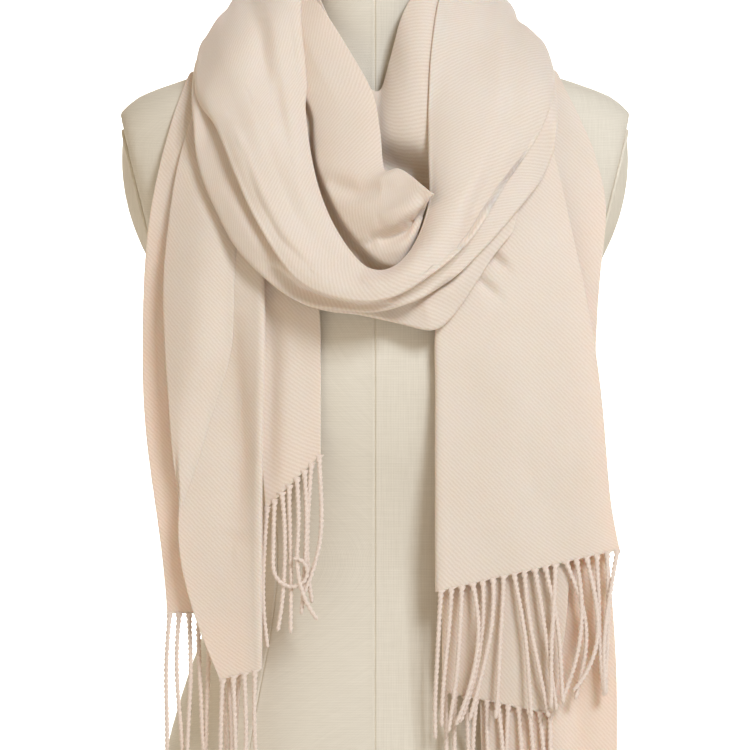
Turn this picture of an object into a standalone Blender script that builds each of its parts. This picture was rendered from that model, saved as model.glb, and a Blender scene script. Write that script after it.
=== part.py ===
"""Winter scarf with fringed ends, wound once round a limbless dress form.

Axes: +X to the viewer's right, -Y towards the viewer, +Z up; the form stands on Z = 0.
Tables are in millimetres; meshes are made in metres.

A stretch of cloth is a strip between two edge lines. Each row of its table gives a point on the near
edge, a point on the far edge, and how far the cloth bulges outwards between them. Rows run round the
neck from the nape over the wearer's right shoulder, or up a hanging end from its hem. The stretches are
made from the inside out, and each is lifted off the ones below it where they would meet.
"""
import math
import random
from collections import namedtuple

import bpy
import numpy as np
from mathutils import Vector
from mathutils.bvhtree import BVHTree

# ---------------------------------------------------------------- driving dimensions, millimetres
MM = 0.001
WALL = 1.5
# Between a hem and its fringe, and between the form and what is fixed to it.
GAP = 0.3
# A folded edge turns round this radius and runs back under the cloth for the length of the tuck.
FOLD_RADIUS = 1.8
TUCK = 9.0
SHORTEST_TUCK = 0.4
# A fold below another hangs this far behind its face, and starts this far up under its edge.
LAYER = 2.0 * FOLD_RADIUS + WALL + 0.4
TUCK_OVERLAP = 8.0
# Cloth rests this far off what is below it, from its middle surface. It is looked for within the
# reach, and a surface seen more edge-on than the steepest counts as that.
REST = WALL / 2.0 + 0.7
REACH = 25.0
STEEPEST = 0.5
# Part of a strip's width over which the lift of an edge dies out.
LIFT_SPREAD = 0.55

STRAND_PITCH = 8.5
STRAND_WIDTH = 3.4
STRAND_FLATNESS = 0.8
STRAND_TAPER = 0.15
STRAND_LENGTH = 116.0
STRAND_SHORTEST = 0.94
STRAND_STEPS = 3
STRAND_SWAY = 1.6
STRAND_WAVE = 0.5
ROOT_STRIP_HEIGHT = 3.0
ROOT_STRIP_END = 0.4

BASE_THICKNESS = 12.0
BASE_INSET = 3.0
NECK_TOP = 785.0
NECK_CAP_THICKNESS = 10.0
ARM_PLANE = 184.5
ARM_PLANE_SLOPE = 0.25
ARM_FLAT_FROM = 510.0
ARM_PLATE_HALF_DEPTH = 42.0
ARM_PLATE_HALF_HEIGHT = 62.0
ARM_PLATE_CENTRE_Y = 4.0
ARM_PLATE_CENTRE_Z = 580.0
ARM_PLATE_SIDES = 28
FORM_ROUNDNESS = 2.3
FORM_SIDES = 40

# ---------------------------------------------------------------- tables
Section = namedtuple("Section", "height half_width front back")
FORM_SECTIONS = [
    Section(12.3, 160, 112, 114),
    Section(50, 167, 117, 123),
    Section(100, 171, 118, 128),
    Section(150, 165, 113, 121),
    Section(200, 151, 106, 108),
    Section(250, 134, 100, 97),
    Section(300, 126, 98, 91),
    Section(350, 133, 105, 92),
    Section(400, 146, 117, 97),
    Section(450, 155, 124, 103),
    Section(500, 164, 120, 108),
    Section(545, 184, 107, 110),
    Section(585, 206, 94, 109),
    Section(625, 214, 82, 105),
    Section(652, 205, 74, 99),
    Section(668, 187, 67, 91),
    Section(681, 152, 62, 84),
    Section(693, 112, 57, 76),
    Section(705, 79, 54, 69),
    Section(718, 63, 53, 65),
    Section(740, 57, 52, 62),
    Section(NECK_TOP, 55, 50, 60),
]
FORM_EXTRA_HEIGHTS = (565, 605, 640, 660, 675, 687, 699)
# The padded plate that closes each arm: height above the flat, and share of the outline's size.
Dome = namedtuple("Dome", "height size")
ARM_PLATE_DOME = [Dome(GAP, 1.0), Dome(2.5, 0.99), Dome(7.0, 0.84), Dome(11.0, 0.56), Dome(13.0, 0.24)]

# How a strip ends at an edge, for each point after the edge itself: the lift outwards, the slide past
# the edge, and how much of its depth it gives up where another piece is in the way.
Turn = namedtuple("Turn", "lift slide give")
FOLD_ANGLES = (0.3 * math.pi, 0.62 * math.pi, math.pi)
FOLDED = [Turn(FOLD_RADIUS * (math.cos(a) - 1), FOLD_RADIUS * math.sin(a), 0) for a in FOLD_ANGLES]
EDGE_PROFILES = {
    "cut": [],
    "folded": FOLDED + [Turn(-2 * FOLD_RADIUS, -TUCK, 0)],
    "stepped": [Turn(-4, 1.5, 3), Turn(-9, 3, 8), Turn(-11, 16, 10)],
}


Row = namedtuple("Row", "near_x near_y near_z far_x far_y far_z bulge")
# Main cowl, a closed loop: the near edge is the rim round the neck, the far edge the foot of the fold.
WRAP_OUTER = [
    Row(0, 82, 768, 0, 121, 665, 8),
    Row(-46, 70, 774, -86, 108, 671, 9),
    Row(-72, 34, 780, -121, 66, 692, 7),
    Row(-76, -12, 772, -131, -2, 709, 5),
    Row(-66, -50, 737, -134, -72, 668, 6),
    Row(-59, -78, 671, -121, -99, 638, 9),
    Row(-53, -103, 622, -106, -121, 600, 9),
    Row(-42, -126, 580, -87, -142, 561, 8),
    Row(-25, -144, 547, -60, -158, 521, 6),
    Row(-6, -153, 527, -26, -166, 505, 4),
    Row(14, -155, 527, 10, -168, 505, 4),
    Row(31, -150, 545, 44, -163, 525, 5),
    Row(40, -142, 577, 73, -149, 552, 6),
    Row(43, -126, 617, 100, -125, 595, 8),
    Row(44, -104, 660, 126, -98, 636, 8),
    Row(46, -78, 703, 135, -73, 671, 6),
    Row(53, -46, 745, 131, -13, 707, 5),
    Row(74, -2, 778, 124, 46, 697, 6),
    Row(66, 42, 780, 107, 86, 676, 9),
    Row(38, 72, 772, 60, 113, 667, 9),
]
Foot = namedtuple("Foot", "x y z bulge")
# Fold below the cowl: its near edge hangs from the foot of the cowl, row by row.
WRAP_UNDER = [
    Foot(0, 121, 646, 2),
    Foot(-90, 109, 652, 2),
    Foot(-127, 71, 674, 2),
    Foot(-136, -2, 694, 1),
    Foot(-140, -75, 652, 1),
    Foot(-137, -94, 612, 2),
    Foot(-121, -115, 572, 2),
    Foot(-101, -132, 539, 2),
    Foot(-64, -149, 507, 2),
    Foot(-28, -156, 497, 1),
    Foot(10, -160, 498, 1),
    Foot(50, -153, 515, 1),
    Foot(83, -139, 545, 2),
    Foot(115, -114, 582, 2),
    Foot(134, -92, 609, 2),
    Foot(141, -80, 645, 1),
    Foot(135, -14, 695, 1),
    Foot(129, 51, 683, 1),
    Foot(114, 90, 661, 2),
    Foot(62, 115, 649, 2),
]
# Lowest fold: rows follow the foot of the fold above from its row LOWEST_FROM on.
LOWEST_FROM = 8.2
LOWEST_STEP = 0.65
WRAP_LOWEST = [
    Foot(-58, -141, 502, 0),
    Foot(-36, -145, 494, 0),
    Foot(-10, -147, 489, 1),
    Foot(20, -148, 485, 2),
    Foot(45, -145, 482, 3),
    Foot(60, -140, 492, 3),
    Foot(74, -134, 513, 2),
    Foot(90, -124, 540, 1),
    Foot(103, -114, 556, 0),
]
# Stretch inside the cowl, from beside the neck down to the tongue, which turns to the right.
WRAP_FLAP = [
    Row(-69, 12, 768, -76, 14, 746, 0),
    Row(-59, -28, 758, -70, -26, 730, 1),
    Row(-41, -60, 734, -62, -52, 702, 2),
    Row(-20, -76, 700, -59, -66, 668, 3),
    Row(-2, -90, 666, -55, -80, 648, 4),
    Row(4, -104, 636, -52, -93, 622, 5),
    Row(6, -116, 612, -46, -109, 592, 5),
    Row(9, -124, 603, -34, -126, 572, 5),
    Row(19, -128, 604, -19, -136, 550, 6),
    Row(28, -128, 598, 3, -142, 536, 6),
    Row(37, -124, 590, 24, -140, 535, 6),
    Row(43, -117, 586, 36, -130, 548, 4),
    Row(49, -106, 587, 44, -117, 564, 2),
]
# Innermost turn, a closed loop next to the neck, dipping to a V at the throat.
WRAP_INNER = [
    Row(0, 66, 782, 0, 73, 742, 1),
    Row(-44, 52, 784, -50, 58, 744, 1),
    Row(-62, 8, 784, -66, 10, 746, 1),
    Row(-53, -32, 764, -58, -32, 736, 1),
    Row(-34, -58, 722, -42, -62, 690, 2),
    Row(-14, -74, 682, -18, -84, 626, 3),
    Row(3, -78, 668, 10, -104, 576, 4),
    Row(12, -72, 694, 46, -98, 596, 6),
    Row(23, -60, 732, 56, -68, 664, 6),
    Row(42, -38, 762, 60, -35, 716, 3),
    Row(61, 6, 784, 66, 8, 744, 2),
    Row(44, 52, 784, 50, 58, 744, 1),
]
# Hanging ends, from the hem up to the shoulder; the near edge is on the viewer's left.
RIGHT_TAIL_BACK = [
    Row(83, -112, 136, 188, -104, 126, 2),
    Row(80, -112, 220, 188, -106, 216, 3),
    Row(74, -112, 330, 180, -106, 330, 3),
    Row(70, -116, 430, 173, -98, 430, 4),
    Row(68, -113, 510, 175, -84, 510, 4),
    Row(73, -99, 571, 181, -69, 575, 3),
    Row(81, -86, 614, 173, -58, 618, 2),
    Row(87, -73, 647, 161, -53, 647, 1),
    Row(90, -57, 677, 149, -40, 672, 0),
    Row(92, -33, 695, 144, -20, 685, 0),
    Row(92, -6, 701, 142, 4, 687, 0),
    Row(91, 23, 700, 136, 27, 685, 0),
    Row(87, 59, 693, 123, 57, 681, 0),
]
RIGHT_TAIL_MIDDLE = [
    Row(52, -116, 200, 138, -114.5, 182, 1),
    Row(52, -118.5, 280, 150, -116.5, 276, 2),
    Row(52, -120, 380, 150, -115.5, 380, 3),
    Row(56, -123, 460, 148, -110.5, 460, 3),
]
RIGHT_TAIL_FRONT = [
    Row(49, -128, 278, 190, -116, 310, 2),
    Row(49, -128, 350, 183, -114, 350, 3),
    Row(49, -129, 430, 176, -110, 430, 4),
    Row(49, -132, 480, 167, -104, 495, 4),
    Row(54, -128, 530, 156, -95, 546, 4),
    Row(64, -112, 584, 145, -82, 594, 3),
    Row(78, -88, 626, 134, -66, 638, 2),
]
LEFT_TAIL_BACK = [
    Row(-162, -100, 260, -104, -110, 260, 2),
    Row(-167, -100, 310, -104, -110, 310, 2),
    Row(-179, -94, 400, -106, -110, 400, 3),
    Row(-182, -88, 470, -106, -112, 470, 3),
    Row(-180, -78, 540, -104, -105, 540, 3),
    Row(-173, -70, 593, -102, -91, 591, 2),
    Row(-161, -58, 641, -98, -78, 637, 1),
    Row(-152, -43, 669, -97, -60, 673, 0),
    Row(-147, -22, 684, -96, -35, 695, 0),
    Row(-144, 2, 686, -95, -6, 700, 0),
    Row(-138, 27, 685, -94, 23, 699, 0),
    Row(-127, 57, 681, -88, 57, 693, 0),
]
LEFT_TAIL_INNER = [
    Row(-85, -123, 341, -42, -123, 384, 1),
    Row(-89, -124.5, 400, -42, -124, 420, 1),
    Row(-89, -125, 450, -42, -126, 460, 1),
    Row(-89, -123, 500, -43, -127.5, 496, 1),
    Row(-90, -116, 535, -50, -121, 526, 1),
]
LEFT_TAIL_FRONT = [
    Row(-120, -122, 209, -90, -126, 217, 0),
    Row(-141, -118, 262, -90, -128, 262, -2),
    Row(-152, -115, 310, -90, -129, 310, -3),
    Row(-152, -112, 360, -90, -130, 360, -3),
    Row(-154, -108, 420, -89, -131, 420, -3),
    Row(-157, -102, 480, -88, -133, 480, -2),
    Row(-151, -92, 540, -90, -122, 540, 0),
    Row(-138, -80, 590, -100, -104, 584, 0),
]
LEFT_TAIL_FLAP = [
    Row(-156, -114, 342, -151, -116, 343, 0),
    Row(-157, -114, 372, -142, -120, 372, 1),
    Row(-160, -112, 420, -129, -124, 420, 2),
    Row(-163, -108, 470, -117, -131, 470, 3),
    Row(-164, -98, 520, -113, -127, 520, 2),
    Row(-159, -84, 570, -108, -115, 562, 1),
    Row(-152, -72, 612, -106, -100, 596, 0),
    Row(-142, -60, 648, -104, -84, 628, 0),
]

# Soft folds pressed into a stretch: rows from and to, place across it at both ends, half width and height.
Crease = namedtuple("Crease", "row_from row_to across_from across_to half_width height")
OUTER_CREASES = [
    Crease(2.2, 6.5, 0.40, 0.30, 0.10, -3.0),
    Crease(3.0, 7.5, 0.70, 0.62, 0.12, 2.5),
    Crease(12.0, 16.5, 0.78, 0.66, 0.10, -3.5),
    Crease(13.5, 17.0, 0.50, 0.36, 0.10, -2.0),
    Crease(15.5, 20.0, 0.66, 0.70, 0.09, -3.5),
    Crease(16.5, 20.0, 0.30, 0.36, 0.09, -3.5),
    Crease(0.0, 3.5, 0.70, 0.62, 0.09, -3.5),
    Crease(0.0, 3.0, 0.36, 0.34, 0.09, -3.5),
]
FLAP_CREASES = [
    Crease(6.2, 8.8, 0.62, 0.40, 0.16, -5.0),
    Crease(8.8, 11.6, 0.66, 0.46, 0.14, -6.0),
]
FRONT_CREASES = [
    Crease(0.0, 4.5, 0.30, 0.34, 0.16, 1.6),
    Crease(0.0, 4.0, 0.68, 0.72, 0.14, -1.6),
]


# ---------------------------------------------------------------- curves and the form's surface
def smooth_rows(table, at, closed):
    """Catmull-Rom values of a table of rows at the given row numbers."""
    table = np.asarray(table, float)
    count = len(table)
    at = np.asarray(at, float)
    if closed:
        base = np.floor(at).astype(int)
        index = [(base + k) % count for k in (-1, 0, 1, 2)]
    else:
        base = np.clip(np.floor(at).astype(int), 0, count - 2)
        index = [np.clip(base + k, 0, count - 1) for k in (-1, 0, 1, 2)]
    p0, p1, p2, p3 = (table[i] for i in index)
    t = (at - base)[:, None]
    return 0.5 * (
        2 * p1
        + (p2 - p0) * t
        + (2 * p0 - 5 * p1 + 4 * p2 - p3) * t ** 2
        + (3 * p1 - p0 - 3 * p2 + p3) * t ** 3
    )


FORM_HEIGHTS = np.array([s.height for s in FORM_SECTIONS], float)
FORM_SHAPE = np.array([s[1:] for s in FORM_SECTIONS], float)


def form_section(height):
    """Half width, front depth and back depth of the form at each height."""
    clipped = np.clip(height, FORM_HEIGHTS[0], FORM_HEIGHTS[-1])
    at = np.interp(clipped, FORM_HEIGHTS, np.arange(len(FORM_HEIGHTS)))
    return smooth_rows(FORM_SHAPE, at, closed=False)


# ---------------------------------------------------------------- cloth
def unit(vectors):
    return vectors / np.linalg.norm(vectors, axis=-1, keepdims=True)


class Pile:
    """The pieces made so far. Cloth made later is kept outside them."""

    def __init__(self):
        self.trees = []

    def add(self, item):
        bpy.context.view_layer.update()
        self.trees.append(BVHTree.FromObject(item, bpy.context.evaluated_depsgraph_get()))

    def shortfall(self, point, outward):
        """How much further out a point must be to rest on the pile."""
        start = Vector((point + outward * REACH) * MM)
        back = Vector(-outward)
        most = 0.0
        for tree in self.trees:
            place, normal, face, distance = tree.ray_cast(start, back, 2 * REACH * MM)
            if place is not None:
                facing = max(abs(normal.dot(back)), STEEPEST)
                most = max(most, REACH - distance / MM + REST / facing)
        return most


class Stretch:
    """A strip of cloth between a near and a far edge line."""

    def __init__(self, rows, closed=False, creases=()):
        self.rows = np.asarray(rows, float)
        self.closed = closed
        self.creases = creases

    def frame(self, at):
        """Edge points, bulge, direction across, direction outwards and width at row numbers."""
        values = smooth_rows(self.rows, at, self.closed)
        step = 0.05
        last = len(self.rows) - 1
        low, high = at - step, at + step
        if not self.closed:
            low, high = np.clip(low, 0, last), np.clip(high, 0, last)
        before = smooth_rows(self.rows, low, self.closed)
        after = smooth_rows(self.rows, high, self.closed)
        along = unit((after - before)[:, :3] + (after - before)[:, 3:6])
        near, far, bulge = values[:, :3], values[:, 3:6], values[:, 6]
        width = np.linalg.norm(far - near, axis=1)
        across = (far - near) / width[:, None]
        outward = unit(np.cross(across, along))
        return near, far, bulge, across, outward, width

    def crease_height(self, at, part):
        """Height that the soft folds add at each row number, for one place across the strip."""
        height = np.zeros_like(at)
        for crease in self.creases:
            along = np.clip((at - crease.row_from) / (crease.row_to - crease.row_from), 0, 1)
            centre = crease.across_from + (crease.across_to - crease.across_from) * along
            fade = np.sin(math.pi * along) ** 0.6 * (along > 0) * (along < 1)
            height += crease.height * fade * np.exp(-(((part - centre) / crease.half_width) ** 2))
        return height

    def under_edge(self, at):
        """Points one layer behind the far edge, a little way up under it."""
        near, far, bulge, across, outward, width = self.frame(np.asarray(at, float))
        return far - outward * LAYER - across * TUCK_OVERLAP

    def surface(self, at, steps, near_edge, far_edge):
        """Middle surface of the cloth, rows by columns, and each row's outward direction and width."""
        near, far, bulge, across, outward, width = self.frame(at)
        columns = []

        def add(part, turn, past_edge):
            swell = 4 * part * (1 - part) * bulge + self.crease_height(at, part)
            slide = np.maximum(turn.slide, -SHORTEST_TUCK * width) * past_edge
            point = near + (far - near) * part + outward * (swell + turn.lift)[:, None]
            columns.append(point + across * slide[:, None])

        for turn in reversed(EDGE_PROFILES[near_edge]):
            add(0.0, turn, -1)
        for k in range(steps + 1):
            add(k / steps, Turn(0, 0, 0), 1)
        for turn in EDGE_PROFILES[far_edge]:
            add(1.0, turn, 1)
        return np.stack(columns, axis=1), outward, width

    def even_out(self, lift, width, near_edge, far_edge):
        """Spread the lift so that edges turn as a whole and the cloth stays smooth between them."""
        lift = lift.copy()
        near_turns, far_turns = EDGE_PROFILES[near_edge], EDGE_PROFILES[far_edge]
        first = len(near_turns)
        last = lift.shape[1] - 1 - len(far_turns)
        for edge, direction, turns in ((first, -1, near_turns), (last, 1, far_turns)):
            whole = lift[:, edge].copy()
            for k, turn in enumerate(turns, 1):
                whole = np.maximum(whole, lift[:, edge + direction * k] - turn.give)
            for k in range(len(turns) + 1):
                column = edge + direction * k
                lift[:, column] = np.maximum(lift[:, column], whole)
            for k in range(1, last - first + 1):
                column = edge - direction * k
                inwards = width * k / (last - first)
                share = np.clip((width - inwards) / (LIFT_SPREAD * width), 0, 1)
                lift[:, column] = np.maximum(lift[:, column], whole * share)
        window, count = 5, len(lift)
        padded = np.pad(lift, ((window - 1, window - 1), (0, 0)), mode="wrap" if self.closed else "edge")
        most = np.max([padded[k:k + count + window - 1] for k in range(window)], axis=0)
        return np.mean([most[k:k + count] for k in range(window)], axis=0)

    def grid(self, pile, lengthwise, steps, near_edge, far_edge):
        """Middle surface of the cloth, lifted off the pile where it would run into it."""
        if self.closed:
            at = np.arange(2 * lengthwise) * len(self.rows) / (2 * lengthwise)
        else:
            at = np.linspace(0, len(self.rows) - 1, 2 * lengthwise + 1)
        points, outward, width = self.surface(at, 2 * steps, near_edge, far_edge)
        lift = np.zeros(points.shape[:2])
        for _ in range(2):
            lifted = points + outward[:, None] * lift[..., None]
            for i, row in enumerate(lifted):
                for j, point in enumerate(row):
                    lift[i, j] += pile.shortfall(point, outward[i])
            lift = self.even_out(lift, width, near_edge, far_edge)
        lifted = points + outward[:, None] * lift[..., None]
        first = len(EDGE_PROFILES[near_edge])
        faces = list(range(first, first + 2 * steps + 1, 2))
        return lifted[::2, list(range(first)) + faces + list(range(faces[-1] + 1, lifted.shape[1]))]


def under(upper, at, feet):
    """Rows of a fold that hangs from under the far edge of another."""
    near = upper.under_edge(at)
    return [Row(*near[i], foot.x, foot.y, foot.z, foot.bulge) for i, foot in enumerate(feet)]


# ---------------------------------------------------------------- Blender objects
def make_material(name, colour, roughness):
    material = bpy.data.materials.new(name)
    material.use_nodes = True
    shader = material.node_tree.nodes["Principled BSDF"]
    shader.inputs["Base Color"].default_value = (*colour, 1.0)
    shader.inputs["Roughness"].default_value = roughness
    shader.inputs["Metallic"].default_value = 0.0
    return material


def make_object(name, points, faces, material):
    """A named object from points in millimetres."""
    mesh = bpy.data.meshes.new(name)
    mesh.from_pydata([tuple(p) for p in np.asarray(points) * MM], [], faces)
    mesh.shade_smooth()
    mesh.set_sharp_from_angle(angle=math.radians(50))
    mesh.materials.append(material)
    item = bpy.data.objects.new(name, mesh)
    bpy.context.scene.collection.objects.link(item)
    return item


def make_cloth(name, stretch, pile, lengthwise, steps, near_edge, far_edge, material):
    """A wall of cloth on a stretch's surface, thickened to both sides; gives back the surface's points."""
    grid = stretch.grid(pile, lengthwise, steps, near_edge, far_edge)
    rows, columns = grid.shape[:2]
    faces = []
    for i in range(rows if stretch.closed else rows - 1):
        following = (i + 1) % rows
        for j in range(columns - 1):
            a, b = i * columns + j, i * columns + j + 1
            c, d = following * columns + j + 1, following * columns + j
            faces.append((a, d, c, b))
    item = make_object(name, grid.reshape(-1, 3), faces, material)
    wall = item.modifiers.new("Wall", "SOLIDIFY")
    wall.thickness = WALL * MM
    wall.offset = 0.0
    wall.use_rim = True
    pile.add(item)
    return grid


def make_rings(name, rings, material):
    """A closed body through rings of equal point count, bottom to top, with flat ends."""
    count = len(rings[0])
    points = np.concatenate(rings)
    faces = [tuple(reversed(range(count)))]
    for level in range(len(rings) - 1):
        low, high = level * count, (level + 1) * count
        for k in range(count):
            after = (k + 1) % count
            faces.append((low + k, low + after, high + after, high + k))
    top = (len(rings) - 1) * count
    faces.append(tuple(range(top, top + count)))
    return make_object(name, points, faces, material)


def make_fringe(name, hem, outward, material, seed):
    """Strands on a root strip, below a hem given as points with their outward directions."""
    chooser = random.Random(seed)
    lengths = np.concatenate([[0], np.cumsum(np.linalg.norm(np.diff(hem, axis=0), axis=1))])
    count = max(2, int(round((lengths[-1] - STRAND_WIDTH) / STRAND_PITCH)) + 1)
    first = STRAND_WIDTH / 2 + ROOT_STRIP_END
    centres = np.linspace(first, lengths[-1] - first, count)
    marks = np.sort(np.concatenate([centres - STRAND_WIDTH / 2, centres + STRAND_WIDTH / 2]))

    def along(values, at):
        return np.stack([np.interp(at, lengths, values[:, axis]) for axis in range(3)], axis=1)

    top = along(hem, marks) - np.array([0, 0, GAP])
    facing = unit(along(outward, marks) * np.array([1, 1, 0]))
    strip_half = WALL / 2
    points, faces = [], []
    for i in range(len(marks)):
        for drop in (0.0, ROOT_STRIP_HEIGHT):
            for side in (1, -1):
                points.append(top[i] + facing[i] * strip_half * side - np.array([0, 0, drop]))
    corner = {"top_front": 0, "top_back": 1, "low_front": 2, "low_back": 3}

    def at_mark(i, place):
        return 4 * i + corner[place]

    faces.append(tuple(at_mark(0, p) for p in ("top_front", "top_back", "low_back", "low_front")))
    end = len(marks) - 1
    faces.append(tuple(at_mark(end, p) for p in ("top_front", "low_front", "low_back", "top_back")))
    for i in range(end):
        faces.append((at_mark(i, "top_front"), at_mark(i, "low_front"), at_mark(i + 1, "low_front"),
                      at_mark(i + 1, "top_front")))
        faces.append((at_mark(i, "top_back"), at_mark(i + 1, "top_back"), at_mark(i + 1, "low_back"),
                      at_mark(i, "low_back")))
        faces.append((at_mark(i, "top_front"), at_mark(i + 1, "top_front"), at_mark(i + 1, "top_back"),
                      at_mark(i, "top_back")))
        if i % 2:
            faces.append((at_mark(i, "low_front"), at_mark(i, "low_back"), at_mark(i + 1, "low_back"),
                          at_mark(i + 1, "low_front")))
            continue
        ring = [at_mark(i, "low_front"), at_mark(i, "low_back"), at_mark(i + 1, "low_back"),
                at_mark(i + 1, "low_front")]
        sway = chooser.uniform(-STRAND_SWAY, STRAND_SWAY)
        length = STRAND_LENGTH * chooser.uniform(STRAND_SHORTEST, 1.0)
        phase = chooser.uniform(0, 2 * math.pi)
        centre = np.mean([points[k] for k in ring], axis=0)
        sideways = unit(points[ring[3]] - points[ring[0]])
        forward = facing[i]
        for step in range(1, STRAND_STEPS + 1):
            part = step / STRAND_STEPS
            swing = (sway + STRAND_WAVE * math.sin(phase + 4 * part)) * part
            middle = centre + sideways * swing - np.array([0, 0, length * part])
            half = STRAND_WIDTH / 2 * (1 - STRAND_TAPER * part)
            start = len(points)
            for side, front in ((-1, 1), (-1, -1), (1, -1), (1, 1)):
                points.append(middle + sideways * half * side + forward * half * STRAND_FLATNESS * front)
            below = [start + k for k in range(4)]
            for k in range(4):
                following = (k + 1) % 4
                faces.append((ring[k], ring[following], below[following], below[k]))
            ring = below
        faces.append(tuple(ring))
    return make_object(name, points, faces, material)


# ---------------------------------------------------------------- the pieces
def arm_plane(height):
    """Distance from the middle of the form to the flat where an arm would start."""
    return ARM_PLANE + ARM_PLANE_SLOPE * (height - ARM_PLATE_CENTRE_Z)


def make_form(linen, wood, pile):
    angles = 2 * math.pi * np.arange(FORM_SIDES) / FORM_SIDES
    exponent = 2 / FORM_ROUNDNESS

    def ring(height, grow=0.0):
        half_width, front, back = form_section(np.array([height]))[0] + grow
        x = half_width * np.sign(np.cos(angles)) * np.abs(np.cos(angles)) ** exponent
        depth = np.where(np.sin(angles) < 0, front, back)
        y = depth * np.sign(np.sin(angles)) * np.abs(np.sin(angles)) ** exponent
        limit = arm_plane(height) if height > ARM_FLAT_FROM else half_width
        return np.stack([np.clip(x, -limit, limit), y, np.full(FORM_SIDES, height)], axis=1)

    heights = sorted({s.height for s in FORM_SECTIONS} | set(FORM_EXTRA_HEIGHTS))
    pile.add(make_rings("form_torso", [ring(h) for h in heights], linen))
    base_ring = ring(FORM_HEIGHTS[0], -BASE_INSET) * [1, 1, 0]
    make_rings("form_base", [base_ring, base_ring + [0, 0, BASE_THICKNESS]], wood)
    cap_low = ring(NECK_TOP, -1.0) + [0, 0, GAP]
    cap_high = ring(NECK_TOP, -3.0) + [0, 0, GAP + NECK_CAP_THICKNESS]
    make_rings("form_neck_cap", [cap_low, cap_high], wood)
    for name, side in (("form_arm_plate_left", -1), ("form_arm_plate_right", 1)):
        turn = 2 * math.pi * np.arange(ARM_PLATE_SIDES) / ARM_PLATE_SIDES
        rings = []
        for dome in ARM_PLATE_DOME:
            y = ARM_PLATE_CENTRE_Y + ARM_PLATE_HALF_DEPTH * dome.size * np.cos(turn) * side
            z = ARM_PLATE_CENTRE_Z + ARM_PLATE_HALF_HEIGHT * dome.size * np.sin(turn)
            rings.append(np.stack([side * (arm_plane(z) + dome.height), y, z], axis=1))
        make_rings(name, rings, linen)


def make_wrap(cloth, pile):
    outer = Stretch(WRAP_OUTER, closed=True, creases=OUTER_CREASES)
    turns = np.arange(len(WRAP_UNDER))
    lower = Stretch(under(outer, turns, WRAP_UNDER), closed=True)
    turns = LOWEST_FROM + LOWEST_STEP * np.arange(len(WRAP_LOWEST))
    lowest = Stretch(under(lower, turns, WRAP_LOWEST))
    inner = Stretch(WRAP_INNER, closed=True)
    flap = Stretch(WRAP_FLAP, creases=FLAP_CREASES)
    make_cloth("wrap_inner", inner, pile, 40, 4, "cut", "cut", cloth)
    make_cloth("wrap_flap", flap, pile, 30, 7, "cut", "stepped", cloth)
    make_cloth("wrap_lowest", lowest, pile, 16, 3, "cut", "folded", cloth)
    make_cloth("wrap_under", lower, pile, 72, 3, "cut", "folded", cloth)
    make_cloth("wrap_outer", outer, pile, 68, 7, "folded", "folded", cloth)


Tail = namedtuple("Tail", "name rows creases fringed lengthwise steps near_edge far_edge")
TAILS = [
    Tail("right_tail_back", RIGHT_TAIL_BACK, (), True, 24, 5, "cut", "cut"),
    Tail("right_tail_middle", RIGHT_TAIL_MIDDLE, (), True, 5, 5, "cut", "cut"),
    Tail("right_tail_front", RIGHT_TAIL_FRONT, FRONT_CREASES, True, 12, 7, "folded", "cut"),
    Tail("left_tail_back", LEFT_TAIL_BACK, (), True, 22, 4, "cut", "cut"),
    Tail("left_tail_inner", LEFT_TAIL_INNER, (), True, 6, 4, "cut", "cut"),
    Tail("left_tail_front", LEFT_TAIL_FRONT, (), True, 12, 5, "cut", "folded"),
    Tail("left_tail_flap", LEFT_TAIL_FLAP, (), False, 10, 3, "cut", "cut"),
]


def make_tails(cloth, pile):
    for seed, tail in enumerate(TAILS):
        stretch = Stretch(tail.rows, creases=tail.creases)
        shape = (tail.lengthwise, tail.steps, tail.near_edge, tail.far_edge)
        grid = make_cloth(tail.name, stretch, pile, *shape, cloth)
        if not tail.fringed:
            continue
        first = len(EDGE_PROFILES[tail.near_edge])
        hem = grid[0, first:first + tail.steps + 1]
        outward = np.repeat(stretch.frame(np.array([0.0]))[4], len(hem), axis=0)
        make_fringe("fringe_" + tail.name, hem - np.array([0, 0, GAP]), outward, cloth, seed)


def main():
    for item in list(bpy.data.objects):
        bpy.data.objects.remove(item, do_unlink=True)
    cloth = make_material("Brushed twill", (0.78, 0.66, 0.56), 0.9)
    linen = make_material("Linen", (0.66, 0.61, 0.50), 0.85)
    wood = make_material("Beech", (0.52, 0.34, 0.18), 0.5)
    pile = Pile()
    make_form(linen, wood, pile)
    make_tails(cloth, pile)
    make_wrap(cloth, pile)


main()
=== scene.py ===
"""The looks of a brushed twill scarf with fringed ends, wound round a limbless linen dress form.

Axes: +X to the viewer's right, -Y towards the viewer, +Z up. Tables are in millimetres, meshes in metres.

A stretch of cloth is a strip between two edge lines, laid where its solid is: first as wide rows that are
lifted off the solids below, then as fine cloth with its folds pressed in, kept clear of the cloth below.
"""
import math
import random
from collections import namedtuple

import bpy
import numpy as np
from bpy.props import FloatProperty, FloatVectorProperty, PointerProperty
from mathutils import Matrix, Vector
from mathutils.bvhtree import BVHTree


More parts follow.
